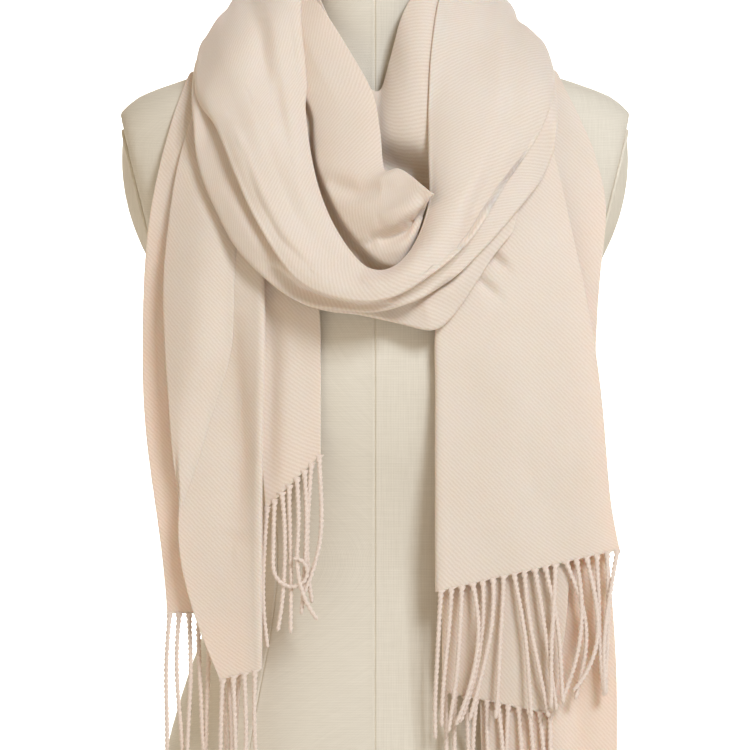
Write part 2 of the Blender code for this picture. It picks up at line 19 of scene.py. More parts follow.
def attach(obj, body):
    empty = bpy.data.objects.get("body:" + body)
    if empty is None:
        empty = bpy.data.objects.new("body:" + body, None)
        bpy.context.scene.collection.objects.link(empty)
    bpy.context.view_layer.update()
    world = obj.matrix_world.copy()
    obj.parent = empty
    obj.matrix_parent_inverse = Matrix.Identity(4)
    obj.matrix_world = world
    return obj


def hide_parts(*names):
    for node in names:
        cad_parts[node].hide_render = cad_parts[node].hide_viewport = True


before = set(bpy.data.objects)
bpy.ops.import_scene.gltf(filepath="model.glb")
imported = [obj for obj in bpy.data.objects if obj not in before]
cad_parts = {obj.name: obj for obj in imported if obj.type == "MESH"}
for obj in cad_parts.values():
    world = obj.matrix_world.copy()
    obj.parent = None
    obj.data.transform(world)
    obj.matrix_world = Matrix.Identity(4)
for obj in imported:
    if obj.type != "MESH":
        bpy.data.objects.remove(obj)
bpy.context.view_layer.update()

bl_info = {
    "name": "Scarf on a dress form",
    "version": (1, 0, 0),
    "blender": (4, 5, 0),
    "location": "View3D > Sidebar > Scarf",
    "description": "Builds a fringed winter scarf wound round a linen dress form",
    "category": "Add Mesh",
}

MM = 0.001
# The cloth's wall, the radius of a folded edge, how far the cloth runs back behind it, the largest share of
# a stretch's width that this may take, the depth of one folded layer, and how far a fold lies under another.
WALL = 1.5
FOLD_RADIUS = 1.8
TUCK = 9.0
TUCK_SHARE = 0.4
LAYER = 2.0 * FOLD_RADIUS + WALL + 0.4
TUCK_OVERLAP = 8.0
# Wide rows rest this far off the solids, which are looked for within reach. A steep hit counts with this
# cosine at least, and the lift of an edge fades over this share of the width.
REST = WALL / 2.0 + 0.7
REACH = 25.0
STEEPEST = 0.5
LIFT_SPREAD = 0.55

# The form, as in its solids: its base and neck, the flat planes that close its arms, and their plates.
BASE_THICKNESS = 12.0
BASE_INSET = 3.0
NECK_TOP = 785.0
NECK_CAP_THICKNESS = 10.0
GAP = 0.3
ARM_PLANE = 184.5
ARM_PLANE_SLOPE = 0.25
ARM_FLAT_FROM = 510.0
ARM_PLATE_HALF_DEPTH = 42.0
ARM_PLATE_HALF_HEIGHT = 62.0
ARM_PLATE_CENTRE_Y = 4.0
ARM_PLATE_CENTRE_Z = 580.0
FORM_ROUNDNESS = 2.3

# The camera stands level, this far in front of the plane of the picture.
PICTURE_PLANE = -120.0
CAMERA_DISTANCE = 4000.0
CAMERA_HEIGHT = 445.6
FRAME_WIDTH = 581.25

# ---------------------------------------------------------------- the form
Section = namedtuple("Section", "height half_width front back")
FORM_SECTIONS = [
    Section(12.3, 160, 112, 114),
    Section(50, 167, 117, 123),
    Section(100, 171, 118, 128),
    Section(150, 165, 113, 121),
    Section(200, 151, 106, 108),
    Section(250, 134, 100, 97),
    Section(300, 126, 98, 91),
    Section(350, 133, 105, 92),
    Section(400, 146, 117, 97),
    Section(450, 155, 124, 103),
    Section(500, 164, 120, 108),
    Section(545, 184, 107, 110),
    Section(585, 206, 94, 109),
    Section(625, 214, 82, 105),
    Section(652, 205, 74, 99),
    Section(668, 187, 67, 91),
    Section(681, 152, 62, 84),
    Section(693, 112, 57, 76),
    Section(705, 79, 54, 69),
    Section(718, 63, 53, 65),
    Section(740, 57, 52, 62),
    Section(NECK_TOP, 55, 50, 60),
]

# ---------------------------------------------------------------- the cloth's rows, as in the solids
Turn = namedtuple("Turn", "lift slide give")
FOLD_ANGLES = (0.3 * math.pi, 0.62 * math.pi, math.pi)
FOLDED = [Turn(FOLD_RADIUS * (math.cos(a) - 1), FOLD_RADIUS * math.sin(a), 0) for a in FOLD_ANGLES]
EDGE_PROFILES = {
    "cut": [],
    "folded": FOLDED + [Turn(-2 * FOLD_RADIUS, -TUCK, 0)],
    "stepped": [Turn(-4, 1.5, 3), Turn(-9, 3, 8), Turn(-11, 16, 10)],
}

Row = namedtuple("Row", "near_x near_y near_z far_x far_y far_z bulge")
# Main cowl, a closed loop: the near edge is the rim round the neck, the far edge the foot of the fold.
WRAP_OUTER = [
    Row(0, 82, 768, 0, 121, 665, 8),
    Row(-46, 70, 774, -86, 108, 671, 9),
    Row(-72, 34, 780, -121, 66, 692, 7),
    Row(-76, -12, 772, -131, -2, 709, 5),
    Row(-66, -50, 737, -134, -72, 668, 7),
    Row(-59, -78, 671, -121, -99, 638, 11),
    Row(-53, -103, 622, -106, -121, 600, 13),
    Row(-42, -126, 580, -87, -142, 561, 12),
    Row(-25, -144, 547, -60, -158, 521, 9),
    Row(-6, -153, 527, -26, -166, 505, 6),
    Row(14, -155, 527, 10, -168, 505, 6),
    Row(31, -150, 545, 44, -163, 525, 7),
    Row(43, -142, 577, 73, -149, 552, 9),
    Row(44, -126, 617, 100, -125, 595, 11),
    Row(44, -104, 660, 126, -98, 636, 11),
    Row(46, -78, 703, 135, -73, 671, 6),
    Row(53, -46, 745, 131, -13, 707, 5),
    Row(74, -2, 778, 124, 46, 697, 6),
    Row(66, 42, 780, 107, 86, 676, 9),
    Row(38, 72, 772, 60, 113, 667, 9),
]
Foot = namedtuple("Foot", "x y z bulge")
# Fold below the cowl: its near edge hangs from the foot of the cowl, row by row.
WRAP_UNDER = [
    Foot(0, 121, 646, 2),
    Foot(-90, 109, 652, 2),
    Foot(-127, 71, 674, 2),
    Foot(-136, -2, 694, 1),
    Foot(-140, -75, 652, 1),
    Foot(-137, -94, 612, 2),
    Foot(-121, -115, 572, 2),
    Foot(-101, -132, 539, 2),
    Foot(-64, -149, 507, 2),
    Foot(-28, -156, 497, 1),
    Foot(10, -160, 498, 1),
    Foot(50, -153, 515, 1),
    Foot(83, -139, 545, 2),
    Foot(115, -114, 582, 2),
    Foot(134, -92, 609, 2),
    Foot(141, -80, 645, 1),
    Foot(135, -14, 695, 1),
    Foot(129, 51, 683, 1),
    Foot(114, 90, 661, 2),
    Foot(62, 115, 649, 2),
]
# Lowest fold: rows follow the foot of the fold above from its row LOWEST_FROM on.
LOWEST_FROM = 8.2
LOWEST_STEP = 0.65
WRAP_LOWEST = [
    Foot(-58, -141, 502, 0),
    Foot(-36, -145, 494, 0),
    Foot(-10, -147, 489, 1),
    Foot(20, -148, 485, 2),
    Foot(45, -145, 482, 3),
    Foot(60, -140, 492, 3),
    Foot(74, -134, 513, 2),
    Foot(90, -124, 540, 1),
    Foot(103, -114, 556, 0),
]
# Stretch inside the cowl, from beside the neck down to the tongue, which turns to the right.
WRAP_FLAP = [
    Row(-69, 12, 768, -76, 14, 746, 0),
    Row(-59, -28, 758, -70, -26, 730, 1),
    Row(-41, -60, 734, -62, -52, 702, 2),
    Row(-20, -76, 700, -57, -66, 672, 3),
    Row(-2, -90, 666, -48, -82, 650, 4),
    Row(4, -104, 636, -47, -94, 628, 5),
    Row(6, -116, 612, -44, -106, 608, 5),
    Row(9, -124, 603, -35, -119, 586, 5),
    Row(18, -132, 605, -22, -131, 561, 6),
    Row(27, -139, 600, 0, -139, 536, 6),
    Row(35, -147, 593, 17, -141, 531, 6),
    Row(41, -153, 588, 29, -139, 546, 4),
    Row(45, -157, 584.5, 38, -146, 574, 1),
]
# Innermost turn, a closed loop next to the neck, dipping to a V at the throat.
WRAP_INNER = [
    Row(0, 66, 782, 0, 73, 742, 1),
    Row(-44, 52, 784, -50, 58, 744, 1),
    Row(-62, 8, 784, -66, 10, 746, 1),
    Row(-53, -32, 764, -58, -32, 736, 1),
    Row(-34, -58, 722, -42, -62, 690, 2),
    Row(-14, -74, 682, -18, -84, 626, 3),
    Row(3, -78, 668, 8, -100, 582, 8),
    Row(12, -72, 694, 46, -118, 602, 9),
    Row(23, -60, 732, 52, -92, 662, 8),
    Row(42, -38, 762, 59, -48, 714, 4),
    Row(61, 6, 784, 66, 8, 744, 2),
    Row(44, 52, 784, 50, 58, 744, 1),
]
# Hanging ends, from the hem up to the shoulder; the near edge is on the viewer's left.
RIGHT_TAIL_BACK = [
    Row(83, -112, 136, 188, -104, 126, 2),
    Row(80, -112, 220, 188, -106, 216, 3),
    Row(74, -112, 330, 180, -106, 330, 3),
    Row(70, -116, 430, 173, -98, 430, 4),
    Row(68, -113, 510, 175, -84, 510, 4),
    Row(73, -99, 571, 181, -69, 575, 3),
    Row(81, -86, 614, 173, -58, 618, 2),
    Row(87, -73, 647, 161, -53, 647, 1),
    Row(90, -57, 677, 149, -40, 672, 0),
    Row(92, -33, 695, 144, -20, 685, 0),
    Row(92, -6, 701, 142, 4, 687, 0),
    Row(91, 23, 700, 136, 27, 685, 0),
    Row(87, 59, 693, 123, 57, 681, 0),
]
RIGHT_TAIL_MIDDLE = [
    Row(52, -116, 200, 138, -114.5, 182, 1),
    Row(52, -118.5, 280, 150, -116.5, 276, 2),
    Row(52, -120, 380, 150, -115.5, 380, 3),
    Row(56, -123, 460, 148, -110.5, 460, 3),
]
RIGHT_TAIL_FRONT = [
    Row(49, -128, 278, 190, -116, 310, 2),
    Row(49, -128, 350, 183, -114, 350, 3),
    Row(49, -129, 430, 176, -110, 430, 4),
    Row(49, -132, 480, 167, -104, 495, 4),
    Row(54, -128, 530, 156, -95, 546, 4),
    Row(64, -112, 584, 145, -82, 594, 3),
    Row(78, -88, 626, 134, -66, 638, 2),
]
LEFT_TAIL_BACK = [
    Row(-162, -100, 260, -104, -110, 260, 2),
    Row(-167, -100, 310, -104, -110, 310, 2),
    Row(-179, -94, 400, -106, -110, 400, 3),
    Row(-182, -88, 470, -106, -112, 470, 3),
    Row(-180, -78, 540, -104, -105, 540, 3),
    Row(-173, -70, 593, -102, -91, 591, 2),
    Row(-161, -58, 641, -98, -78, 637, 1),
    Row(-152, -43, 669, -97, -60, 673, 0),
    Row(-147, -22, 684, -96, -35, 695, 0),
    Row(-144, 2, 686, -95, -6, 700, 0),
    Row(-138, 27, 685, -94, 23, 699, 0),
    Row(-127, 57, 681, -88, 57, 693, 0),
]
LEFT_TAIL_INNER = [
    Row(-85, -123, 341, -42, -123, 384, 1),
    Row(-89, -124.5, 400, -42, -124, 420, 1),
    Row(-89, -125, 450, -42, -126, 460, 1),
    Row(-89, -123, 500, -43, -127.5, 496, 1),
    Row(-90, -116, 535, -50, -121, 526, 1),
]
LEFT_TAIL_FRONT = [
    Row(-120, -122, 209, -90, -126, 217, 0),
    Row(-141, -118, 262, -90, -128, 262, -2),
    Row(-152, -115, 310, -90, -129, 310, -3),
    Row(-152, -112, 360, -90, -130, 360, -3),
    Row(-154, -108, 420, -89, -131, 420, -3),
    Row(-157, -102, 480, -88, -133, 480, -2),
    Row(-151, -92, 540, -90, -122, 540, 0),
    Row(-138, -80, 590, -100, -104, 584, 0),
]
LEFT_TAIL_FLAP = [
    Row(-156, -114, 342, -151, -116, 343, 0),
    Row(-157, -114, 372, -142, -120, 372, 1),
    Row(-160, -112, 420, -129, -124, 420, 2),
    Row(-163, -108, 470, -117, -131, 470, 3),
    Row(-164, -98, 520, -113, -127, 520, 2),
    Row(-159, -84, 570, -108, -115, 562, 1),
    Row(-152, -72, 612, -106, -100, 596, 0),
    Row(-142, -60, 648, -104, -84, 628, 0),
]

# Soft folds pressed into a stretch: rows from and to, place across it at both ends, half width and height.
Crease = namedtuple("Crease", "row_from row_to across_from across_to half_width height")
OUTER_CREASES = [
    Crease(2.2, 6.5, 0.40, 0.30, 0.10, -3.0),
    Crease(3.0, 7.5, 0.70, 0.62, 0.12, 2.5),
    Crease(12.0, 16.5, 0.78, 0.66, 0.10, -3.5),
    Crease(13.5, 17.0, 0.50, 0.36, 0.10, -2.0),
    Crease(15.5, 20.0, 0.66, 0.70, 0.09, -3.5),
    Crease(16.5, 20.0, 0.30, 0.36, 0.09, -3.5),
    Crease(0.0, 3.5, 0.70, 0.62, 0.09, -3.5),
    Crease(0.0, 3.0, 0.36, 0.34, 0.09, -3.5),
]
FRONT_CREASES = [
    Crease(0.0, 4.5, 0.30, 0.34, 0.16, 1.6),
    Crease(0.0, 4.0, 0.68, 0.72, 0.14, -1.6),
]

# ---------------------------------------------------------------- fine folds, seen from the front
# Each follows a line of (x, z) points. Left and right are its half widths on both sides of that line.
Fold = namedtuple("Fold", "line left right height")
FINE_FOLDS = {
    "wrap_inner": [
        Fold(((-6, 610), (10, 609), (24, 607), (36, 602), (48, 594)), 11, 16, -17.0),
    ],
    "wrap_outer": [
        Fold(((-88, 726), (-88, 700), (-87, 668)), 7, 6, -4.5),
        Fold(((-78, 676), (-74, 650), (-66, 620)), 5, 9, -3.5),
        Fold(((-93, 651), (-80, 612), (-62, 573), (-39, 543), (-16, 523)), 8, 13, -7.0),
        Fold(((-112, 640), (-100, 606), (-84, 574)), 6, 8, 3.5),
        Fold(((-104, 618), (-92, 584), (-74, 552), (-52, 529)), 3, 8, -4.5),
        Fold(((122, 628), (93, 591), (70, 553), (48, 531)), 2.5, 9, -6.5),
        Fold(((83, 571), (67, 546)), 2.5, 4, -5.0),
        Fold(((110, 640), (86, 606), (66, 580)), 6, 6, 1.8),
        Fold(((66, 740), (70, 700), (66, 660)), 12, 9, -2.5),
        Fold(((-122, 642), (-106, 600), (-86, 560), (-60, 523), (-28, 507), (10, 506), (44, 526),
              (72, 552), (98, 594)), 13, 13, 4.0),
    ],
    "wrap_under": [
        Fold(((-76, 528), (-60, 514), (-38, 505), (-14, 500), (6, 501)), 2.5, 7, -8.0),
        Fold(((-116, 590), (-100, 560), (-80, 536)), 8, 8, 2.0),
        Fold(((24, 506), (44, 516), (64, 534), (90, 560)), 3, 4, -3.5),
        Fold(((42, 507), (50, 513), (59, 521)), 2, 3, -6.0),
    ],
    "wrap_lowest": [
        Fold(((-50, 512), (-15, 499), (20, 496), (44, 500)), 15, 15, -14.0),
        Fold(((34, 500), (44, 508), (58, 520), (70, 532)), 3, 3, -8.0),
    ],
    "wrap_flap": [
        Fold(((-38, 597), (-16, 590), (6, 592)), 6, 8, -6.5),
        Fold(((-2, 552), (10, 555), (20, 559), (31, 567), (44, 580)), 2.5, 7, -13.0),
        Fold(((2, 566), (14, 570), (26, 577), (36, 585)), 6, 7, 5.0),
    ],
    "right_tail_front": [
        Fold(((84, 545), (93, 539), (103, 530)), 2.5, 4.5, -6.5),
        Fold(((76, 525), (86, 517), (97, 507)), 2.5, 4.5, -5.0),
        Fold(((92, 520), (96, 470), (94, 400), (98, 320)), 24, 24, -1.5),
    ],
    "right_tail_back": [
        Fold(((146, 260), (154, 194), (160, 140)), 12, 12, -5.0),
        Fold(((170, 500), (176, 400), (178, 310)), 6, 8, -3.0),
    ],
    "left_tail_front": [
        Fold(((-114, 500), (-109, 430), (-106, 380), (-108, 320)), 9, 13, -6.5),
    ],
    "left_tail_inner": [
        Fold(((-79, 510), (-81, 430), (-83, 350)), 7, 8, -6.5),
    ],
    "left_tail_back": [
        Fold(((-160, 600), (-172, 480), (-168, 380), (-158, 280)), 7, 9, -3.0),
    ],
}


# A wide crease fades to its ends as a half wave to this power.
CREASE_FADE = 0.6


def smooth_rows(table, at, closed):
    """Catmull-Rom values of a table of rows at the given row numbers."""
    table = np.asarray(table, float)
    count = len(table)
    at = np.asarray(at, float)
    if closed:
        base = np.floor(at).astype(int)
        index = [(base + k) % count for k in (-1, 0, 1, 2)]
    else:
        base = np.clip(np.floor(at).astype(int), 0, count - 2)
        index = [np.clip(base + k, 0, count - 1) for k in (-1, 0, 1, 2)]
    p0, p1, p2, p3 = (table[i] for i in index)
    t = (at - base)[:, None]
    return 0.5 * (
        2 * p1
        + (p2 - p0) * t
        + (2 * p0 - 5 * p1 + 4 * p2 - p3) * t ** 2
        + (3 * p1 - p0 - 3 * p2 + p3) * t ** 3
    )


FORM_HEIGHTS = np.array([s.height for s in FORM_SECTIONS], float)
FORM_SHAPE = np.array([s[1:] for s in FORM_SECTIONS], float)


def form_section(height):
    """Half width, front depth and back depth of the form at each height."""
    clipped = np.clip(height, FORM_HEIGHTS[0], FORM_HEIGHTS[-1])
    at = np.interp(clipped, FORM_HEIGHTS, np.arange(len(FORM_HEIGHTS)))
    return smooth_rows(FORM_SHAPE, at, closed=False)


def unit(vectors):
    length = np.linalg.norm(vectors, axis=-1, keepdims=True)
    return vectors / np.maximum(length, 1e-9)


class Pile:
    """The pieces laid so far. Cloth laid later is kept outside them."""

    def __init__(self, rest):
        self.trees = []
        self.rest = rest

    def add(self, item):
        mesh = item.data
        corners = [vertex.co for vertex in mesh.vertices]
        self.trees.append(BVHTree.FromPolygons(corners, [tuple(face.vertices) for face in mesh.polygons]))

    def add_grid(self, grid, outward, shown):
        """Adds the outer face of a middle surface, where it is shown."""
        corners = (grid + outward * WALL / 2).reshape(-1, 3) * MM
        columns = grid.shape[1]
        whole = shown[:-1, :-1] & shown[1:, :-1] & shown[:-1, 1:] & shown[1:, 1:]
        starts = [int(i * columns + j) for i, j in np.argwhere(whole)]
        faces = [(a, a + 1, a + columns + 1, a + columns) for a in starts]
        self.trees.append(BVHTree.FromPolygons([Vector(corner) for corner in corners], faces))

    def resting_lift(self, point, outward, reach=REACH):
        """How far out a point must move, or in if negative, to rest on the pile within reach."""
        start = Vector((point + outward * reach) * MM)
        back = Vector(-outward)
        most = -reach
        for tree in self.trees:
            place, normal, face, distance = tree.ray_cast(start, back, 2 * reach * MM)
            if place is not None:
                facing = max(abs(normal.dot(back)), STEEPEST)
                most = max(most, reach - distance / MM + self.rest / facing)
        return most


class Stretch:
    """A strip of cloth between a near and a far edge line."""

    def __init__(self, rows, closed=False, creases=()):
        self.rows = np.asarray(rows, float)
        self.closed = closed
        self.creases = creases

    def frame(self, at):
        """Edge points, bulge, direction across, direction outwards and width at row numbers."""
        values = smooth_rows(self.rows, at, self.closed)
        step = 0.05
        last = len(self.rows) - 1
        low, high = at - step, at + step
        if not self.closed:
            low, high = np.clip(low, 0, last), np.clip(high, 0, last)
        before = smooth_rows(self.rows, low, self.closed)
        after = smooth_rows(self.rows, high, self.closed)
        along = unit((after - before)[:, :3] + (after - before)[:, 3:6])
        near, far, bulge = values[:, :3], values[:, 3:6], values[:, 6]
        width = np.linalg.norm(far - near, axis=1)
        across = (far - near) / width[:, None]
        outward = unit(np.cross(across, along))
        return near, far, bulge, across, outward, width

    def crease_height(self, at, part):
        height = np.zeros_like(at)
        for crease in self.creases:
            along = np.clip((at - crease.row_from) / (crease.row_to - crease.row_from), 0, 1)
            centre = crease.across_from + (crease.across_to - crease.across_from) * along
            fade = np.sin(math.pi * along) ** CREASE_FADE * (along > 0) * (along < 1)
            height += crease.height * fade * np.exp(-(((part - centre) / crease.half_width) ** 2))
        return height

    def under_edge(self, at):
        """Points one layer behind the far edge, a little way up under it."""
        near, far, bulge, across, outward, width = self.frame(np.asarray(at, float))
        return far - outward * LAYER - across * TUCK_OVERLAP

    def surface(self, at, steps, near_edge, far_edge):
        """Middle surface of the cloth, rows by columns, and each row's outward direction and width."""
        near, far, bulge, across, outward, width = self.frame(at)
        columns = []

        def add(part, turn, past_edge):
            swell = 4 * part * (1 - part) * bulge + self.crease_height(at, part)
            slide = np.maximum(turn.slide, -TUCK_SHARE * width) * past_edge
            point = near + (far - near) * part + outward * (swell + turn.lift)[:, None]
            columns.append(point + across * slide[:, None])

        for turn in reversed(EDGE_PROFILES[near_edge]):
            add(0.0, turn, -1)
        for k in range(steps + 1):
            add(k / steps, Turn(0, 0, 0), 1)
        for turn in EDGE_PROFILES[far_edge]:
            add(1.0, turn, 1)
        return np.stack(columns, axis=1), outward, width

    def even_out(self, lift, width, near_edge, far_edge):
        """Spread the lift so that edges turn as a whole and the cloth stays smooth between them."""
        lift = lift.copy()
        near_turns, far_turns = EDGE_PROFILES[near_edge], EDGE_PROFILES[far_edge]
        first = len(near_turns)
        last = lift.shape[1] - 1 - len(far_turns)
        for edge, direction, turns in ((first, -1, near_turns), (last, 1, far_turns)):
            whole = lift[:, edge].copy()
            for k, turn in enumerate(turns, 1):
                whole = np.maximum(whole, lift[:, edge + direction * k] - turn.give)
            for k in range(len(turns) + 1):
                column = edge + direction * k
                lift[:, column] = np.maximum(lift[:, column], whole)
            for k in range(1, last - first + 1):
                column = edge - direction * k
                inwards = width * k / (last - first)
                share = np.clip((width - inwards) / (LIFT_SPREAD * width), 0, 1)
                lift[:, column] = np.maximum(lift[:, column], whole * share)
        window, count = 5, len(lift)
        padded = np.pad(lift, ((window - 1, window - 1), (0, 0)), mode="wrap" if self.closed else "edge")
        most = np.max([padded[k:k + count + window - 1] for k in range(window)], axis=0)
        return np.mean([most[k:k + count] for k in range(window)], axis=0)

    def lay(self, pile, lengthwise, steps, near_edge, far_edge):
        """Wide rows of the cloth's middle surface, lifted off the solids below, with outward directions."""
        if self.closed:
            at = np.arange(2 * lengthwise) * len(self.rows) / (2 * lengthwise)
        else:
            at = np.linspace(0, len(self.rows) - 1, 2 * lengthwise + 1)
        points, outward, width = self.surface(at, 2 * steps, near_edge, far_edge)
        lift = np.zeros(points.shape[:2])
        for _ in range(2):
            lifted = points + outward[:, None] * lift[..., None]
            for i, row in enumerate(lifted):
                for j, point in enumerate(row):
                    lift[i, j] += max(0.0, pile.resting_lift(point, outward[i]))
            lift = self.even_out(lift, width, near_edge, far_edge)
        return points + outward[:, None] * lift[..., None], outward


# Where a folded edge opens out, so that the cloth runs on: the rows between which it opens and closes
# again, and its points. Each point has its slide past the edge, its lift, and how far it is free of the
# usual clearance, settles on the cloth below and sinks into it, so that both show as one.
OPENING = (0, 1, 1, 0)
Opened = namedtuple("Opened", "edge rows points")
OpenPoint = namedtuple("OpenPoint", "slide lift free settle sink")
RUN_ON = (OpenPoint(4, -1.2, 0.3, 0.3, 0.0), OpenPoint(8, -3.2, 0.7, 0.7, 0.6),
          OpenPoint(12, -5.6, 1, 1, 2.2), OpenPoint(15, -7.5, 1, 1, 3.6))
ROLL_IN = (OpenPoint(5, -1.2, 0.5, 0, 0), OpenPoint(9, -4.5, 1, 0, 0),
           OpenPoint(11.5, -10, 1, 0, 0), OpenPoint(12.5, -18, 1, 0, 0))
OPENED = {
    "wrap_outer": [
        Opened("near", (1.6, 2.6, 4.7, 5.5), ROLL_IN),
        Opened("far", (13.4, 16.4, 22.8, 25.6), RUN_ON),
    ],
}
# A cut edge that lies flat on the cloth below: over this width, and sunk this deep at the edge itself.
Pressed = namedtuple("Pressed", "width sink edge_width")
PRESSED = {"left_tail_flap": Pressed(34.0, 1.5, 9.0)}


def smooth_step(part):
    part = np.clip(part, 0, 1)
    return part * part * (3 - 2 * part)


def open_edges(name, rows, outward, turns, count):
    """Open the folded edges of wide rows; gives how free each point is, how it settles and sinks too."""
    loose = np.zeros((*rows.shape[:2], 3))
    at = np.arange(len(rows)) * count / len(rows)
    for piece in OPENED.get(name, ()):
        amount = smooth_step(np.maximum(np.interp(at, piece.rows, OPENING),
                                        np.interp(at + count, piece.rows, OPENING)))
        edge, step = (turns, -1) if piece.edge == "near" else (rows.shape[1] - 1 - turns, 1)
        across = unit(rows[:, edge] - rows[:, edge - step])
        for k, point in enumerate(piece.points, 1):
            place = rows[:, edge] + across * point.slide + outward * point.lift
            column = edge + step * k
            rows[:, column] += (place - rows[:, column]) * amount[:, None]
            loose[:, column] += amount[:, None] * (point.free, point.settle, point.sink)
    return rows, loose


def under(upper, at, feet):
    """Rows of a fold that hangs from under the far edge of another."""
    near = upper.under_edge(at)
    return [Row(*near[i], foot.x, foot.y, foot.z, foot.bulge) for i, foot in enumerate(feet)]


# ---------------------------------------------------------------- fine cloth
FINE_SPACING = 2.3
# Distances from a cut edge at which columns are added, and the share of the wall's thickness that is left
# at the edge itself, squared.
EDGE_ROUNDING = (0.28, 0.75)
EDGE_THICKNESS_SQUARED = 0.03
# The long waves in the cloth: their height together, number, headings in radians and lengths, and the share
# of them that is left where a loop's rows start, because they don't meet there.
RIPPLE = 0.6
RIPPLE_WAVES = 6
RIPPLE_HEADINGS = (-0.5, 0.5)
RIPPLE_LENGTHS = (45, 120)
RIPPLE_AT_START = 0.2
# A fine fold is a half wave to a power along its line, short of its ends, and a bell across it. All fade
# out towards the back of the form, from FOLDS_BEHIND - FOLDS_FADE to FOLDS_BEHIND.
FOLD_ENDS = (0.04, 0.96)
FOLD_POWER = 0.5
FOLD_STEEPNESS = 0.7
FOLDS_BEHIND = 30
FOLDS_FADE = 40
# Fine cloth lies this far off the cloth below, which is looked for within reach. Less than a margin short of
# that reach, nothing was found. The lift is smoothed over this many neighbours on each side.
CLEARANCE = 0.35
FINE_REACH = 16.0
FOUND_MARGIN = 0.1
SMOOTH_REACH = 2


def finer(points, spacing, closed=False):
    """Rows by columns of points, with columns added along smooth curves so that they lie this close."""
    if closed:
        points = np.concatenate([points[:, -2:], points, points[:, :3]], axis=1)
    gaps = np.maximum(np.linalg.norm(np.diff(points[..., :3], axis=1), axis=2), 1e-6)[..., None]
    slopes = np.diff(points, axis=1) / gaps
    inner = slopes[:, :-1] * gaps[:, 1:] + slopes[:, 1:] * gaps[:, :-1]
    inner = inner / (gaps[:, :-1] + gaps[:, 1:])
    tangents = np.concatenate([slopes[:, :1], inner, slopes[:, -1:]], axis=1)
    counts = np.maximum(1, np.round(gaps[..., 0].max(axis=0) / spacing)).astype(int)
    first, last = (2, points.shape[1] - 3) if closed else (0, points.shape[1] - 1)
    columns = []
    for j in range(first, last):
        a, b, gap = points[:, j], points[:, j + 1], gaps[:, j]
        for t in np.arange(counts[j]) / counts[j]:
            columns.append(
                (2 * t ** 3 - 3 * t ** 2 + 1) * a
                + (t ** 3 - 2 * t ** 2 + t) * gap * tangents[:, j]
                + (3 * t ** 2 - 2 * t ** 3) * b
                + (t ** 3 - t ** 2) * gap * tangents[:, j + 1]
            )
    if not closed:
        columns.append(points[:, -1])
    return np.stack(columns, axis=1)


def round_off(points):
    """Columns added just inside the first and the last, where a cut edge is rounded."""
    # Where the next column is close, those added stay in order in the first half of the gap.
    for side in (0, 1):
        edge, inside = points[:, 0], points[:, 1]
        gap = np.linalg.norm((inside - edge)[:, :3], axis=1)[:, None]
        added = [edge + (inside - edge) * np.minimum(d / gap, 0.4 + 0.1 * d) for d in EDGE_ROUNDING]
        points = np.concatenate([points[:, :1], np.stack(added, axis=1), points[:, 1:]], axis=1)[:, ::-1]
    return points


def seen_from_front(points):
    """x and z of points as the camera sees them, on the plane of the picture."""
    scale = CAMERA_DISTANCE / (CAMERA_DISTANCE + points[..., 1] - PICTURE_PLANE)
    x = points[..., 0] * scale
    z = CAMERA_HEIGHT + (points[..., 2] - CAMERA_HEIGHT) * scale
    return np.stack([x, z], axis=-1)


def fold_height(points, folds):
    """How far the fine folds lift each point; they are pressed into the front only."""
    place = seen_from_front(points)
    height = np.zeros(points.shape[:-1])
    for fold in folds:
        line = np.array(fold.line, float)
        steps = np.linalg.norm(np.diff(line, axis=0), axis=1)
        nearest = np.full(height.shape, np.inf)
        along = np.zeros(height.shape)
        run = 0.0
        for start, step, length in zip(line[:-1], np.diff(line, axis=0), steps):
            offset = place - start
            t = np.clip((offset @ step) / length ** 2, 0, 1)
            distance = np.linalg.norm(offset - t[..., None] * step, axis=-1)
            left = step[0] * offset[..., 1] - step[1] * offset[..., 0] > 0
            distance = distance / np.where(left, fold.left, fold.right)
            closer = distance < nearest
            nearest = np.where(closer, distance, nearest)
            along = np.where(closer, (run + t * length) / steps.sum(), along)
            run += length
        taper = np.sin(math.pi * np.clip(along, *FOLD_ENDS)) ** FOLD_POWER
        height += fold.height * taper * np.exp(-FOLD_STEEPNESS * nearest ** 2)
    return height * np.clip((FOLDS_BEHIND - points[..., 1]) / FOLDS_FADE, 0, 1)


def ripple(across, along, seed):
    """Low unevenness of hanging cloth, from a few long waves."""
    chooser = random.Random(seed)
    height = np.zeros_like(across)
    for _ in range(RIPPLE_WAVES):
        heading = chooser.uniform(*RIPPLE_HEADINGS)
        wave = chooser.uniform(*RIPPLE_LENGTHS)
        phase = chooser.uniform(0, 2 * math.pi)
        run = across * math.cos(heading) + along * math.sin(heading)
        height += np.sin(2 * math.pi * run / wave + phase)
    return height * RIPPLE / RIPPLE_WAVES ** 0.5


def surface_normals(grid, closed):
    if closed:
        along = np.roll(grid, -1, axis=0) - np.roll(grid, 1, axis=0)
    else:
        along = np.gradient(grid, axis=0)
    return unit(np.cross(np.gradient(grid, axis=1), along))


def smooth_lift(lift, closed, picks=(np.max, np.mean)):
    """The lift smoothed over its neighbours; with the maximum first, it is nowhere less than needed."""
    for axis in (0, 1):
        mode = "wrap" if closed and axis == 0 else "edge"
        for pick in picks:
            pad = [(SMOOTH_REACH, SMOOTH_REACH) if axis == k else (0, 0) for k in (0, 1)]
            padded, count = np.pad(lift, pad, mode=mode), lift.shape[axis]
            slices = [np.take(padded, range(k, k + count), axis=axis) for k in range(2 * SMOOTH_REACH + 1)]
            lift = pick(slices, axis=0)
    return lift


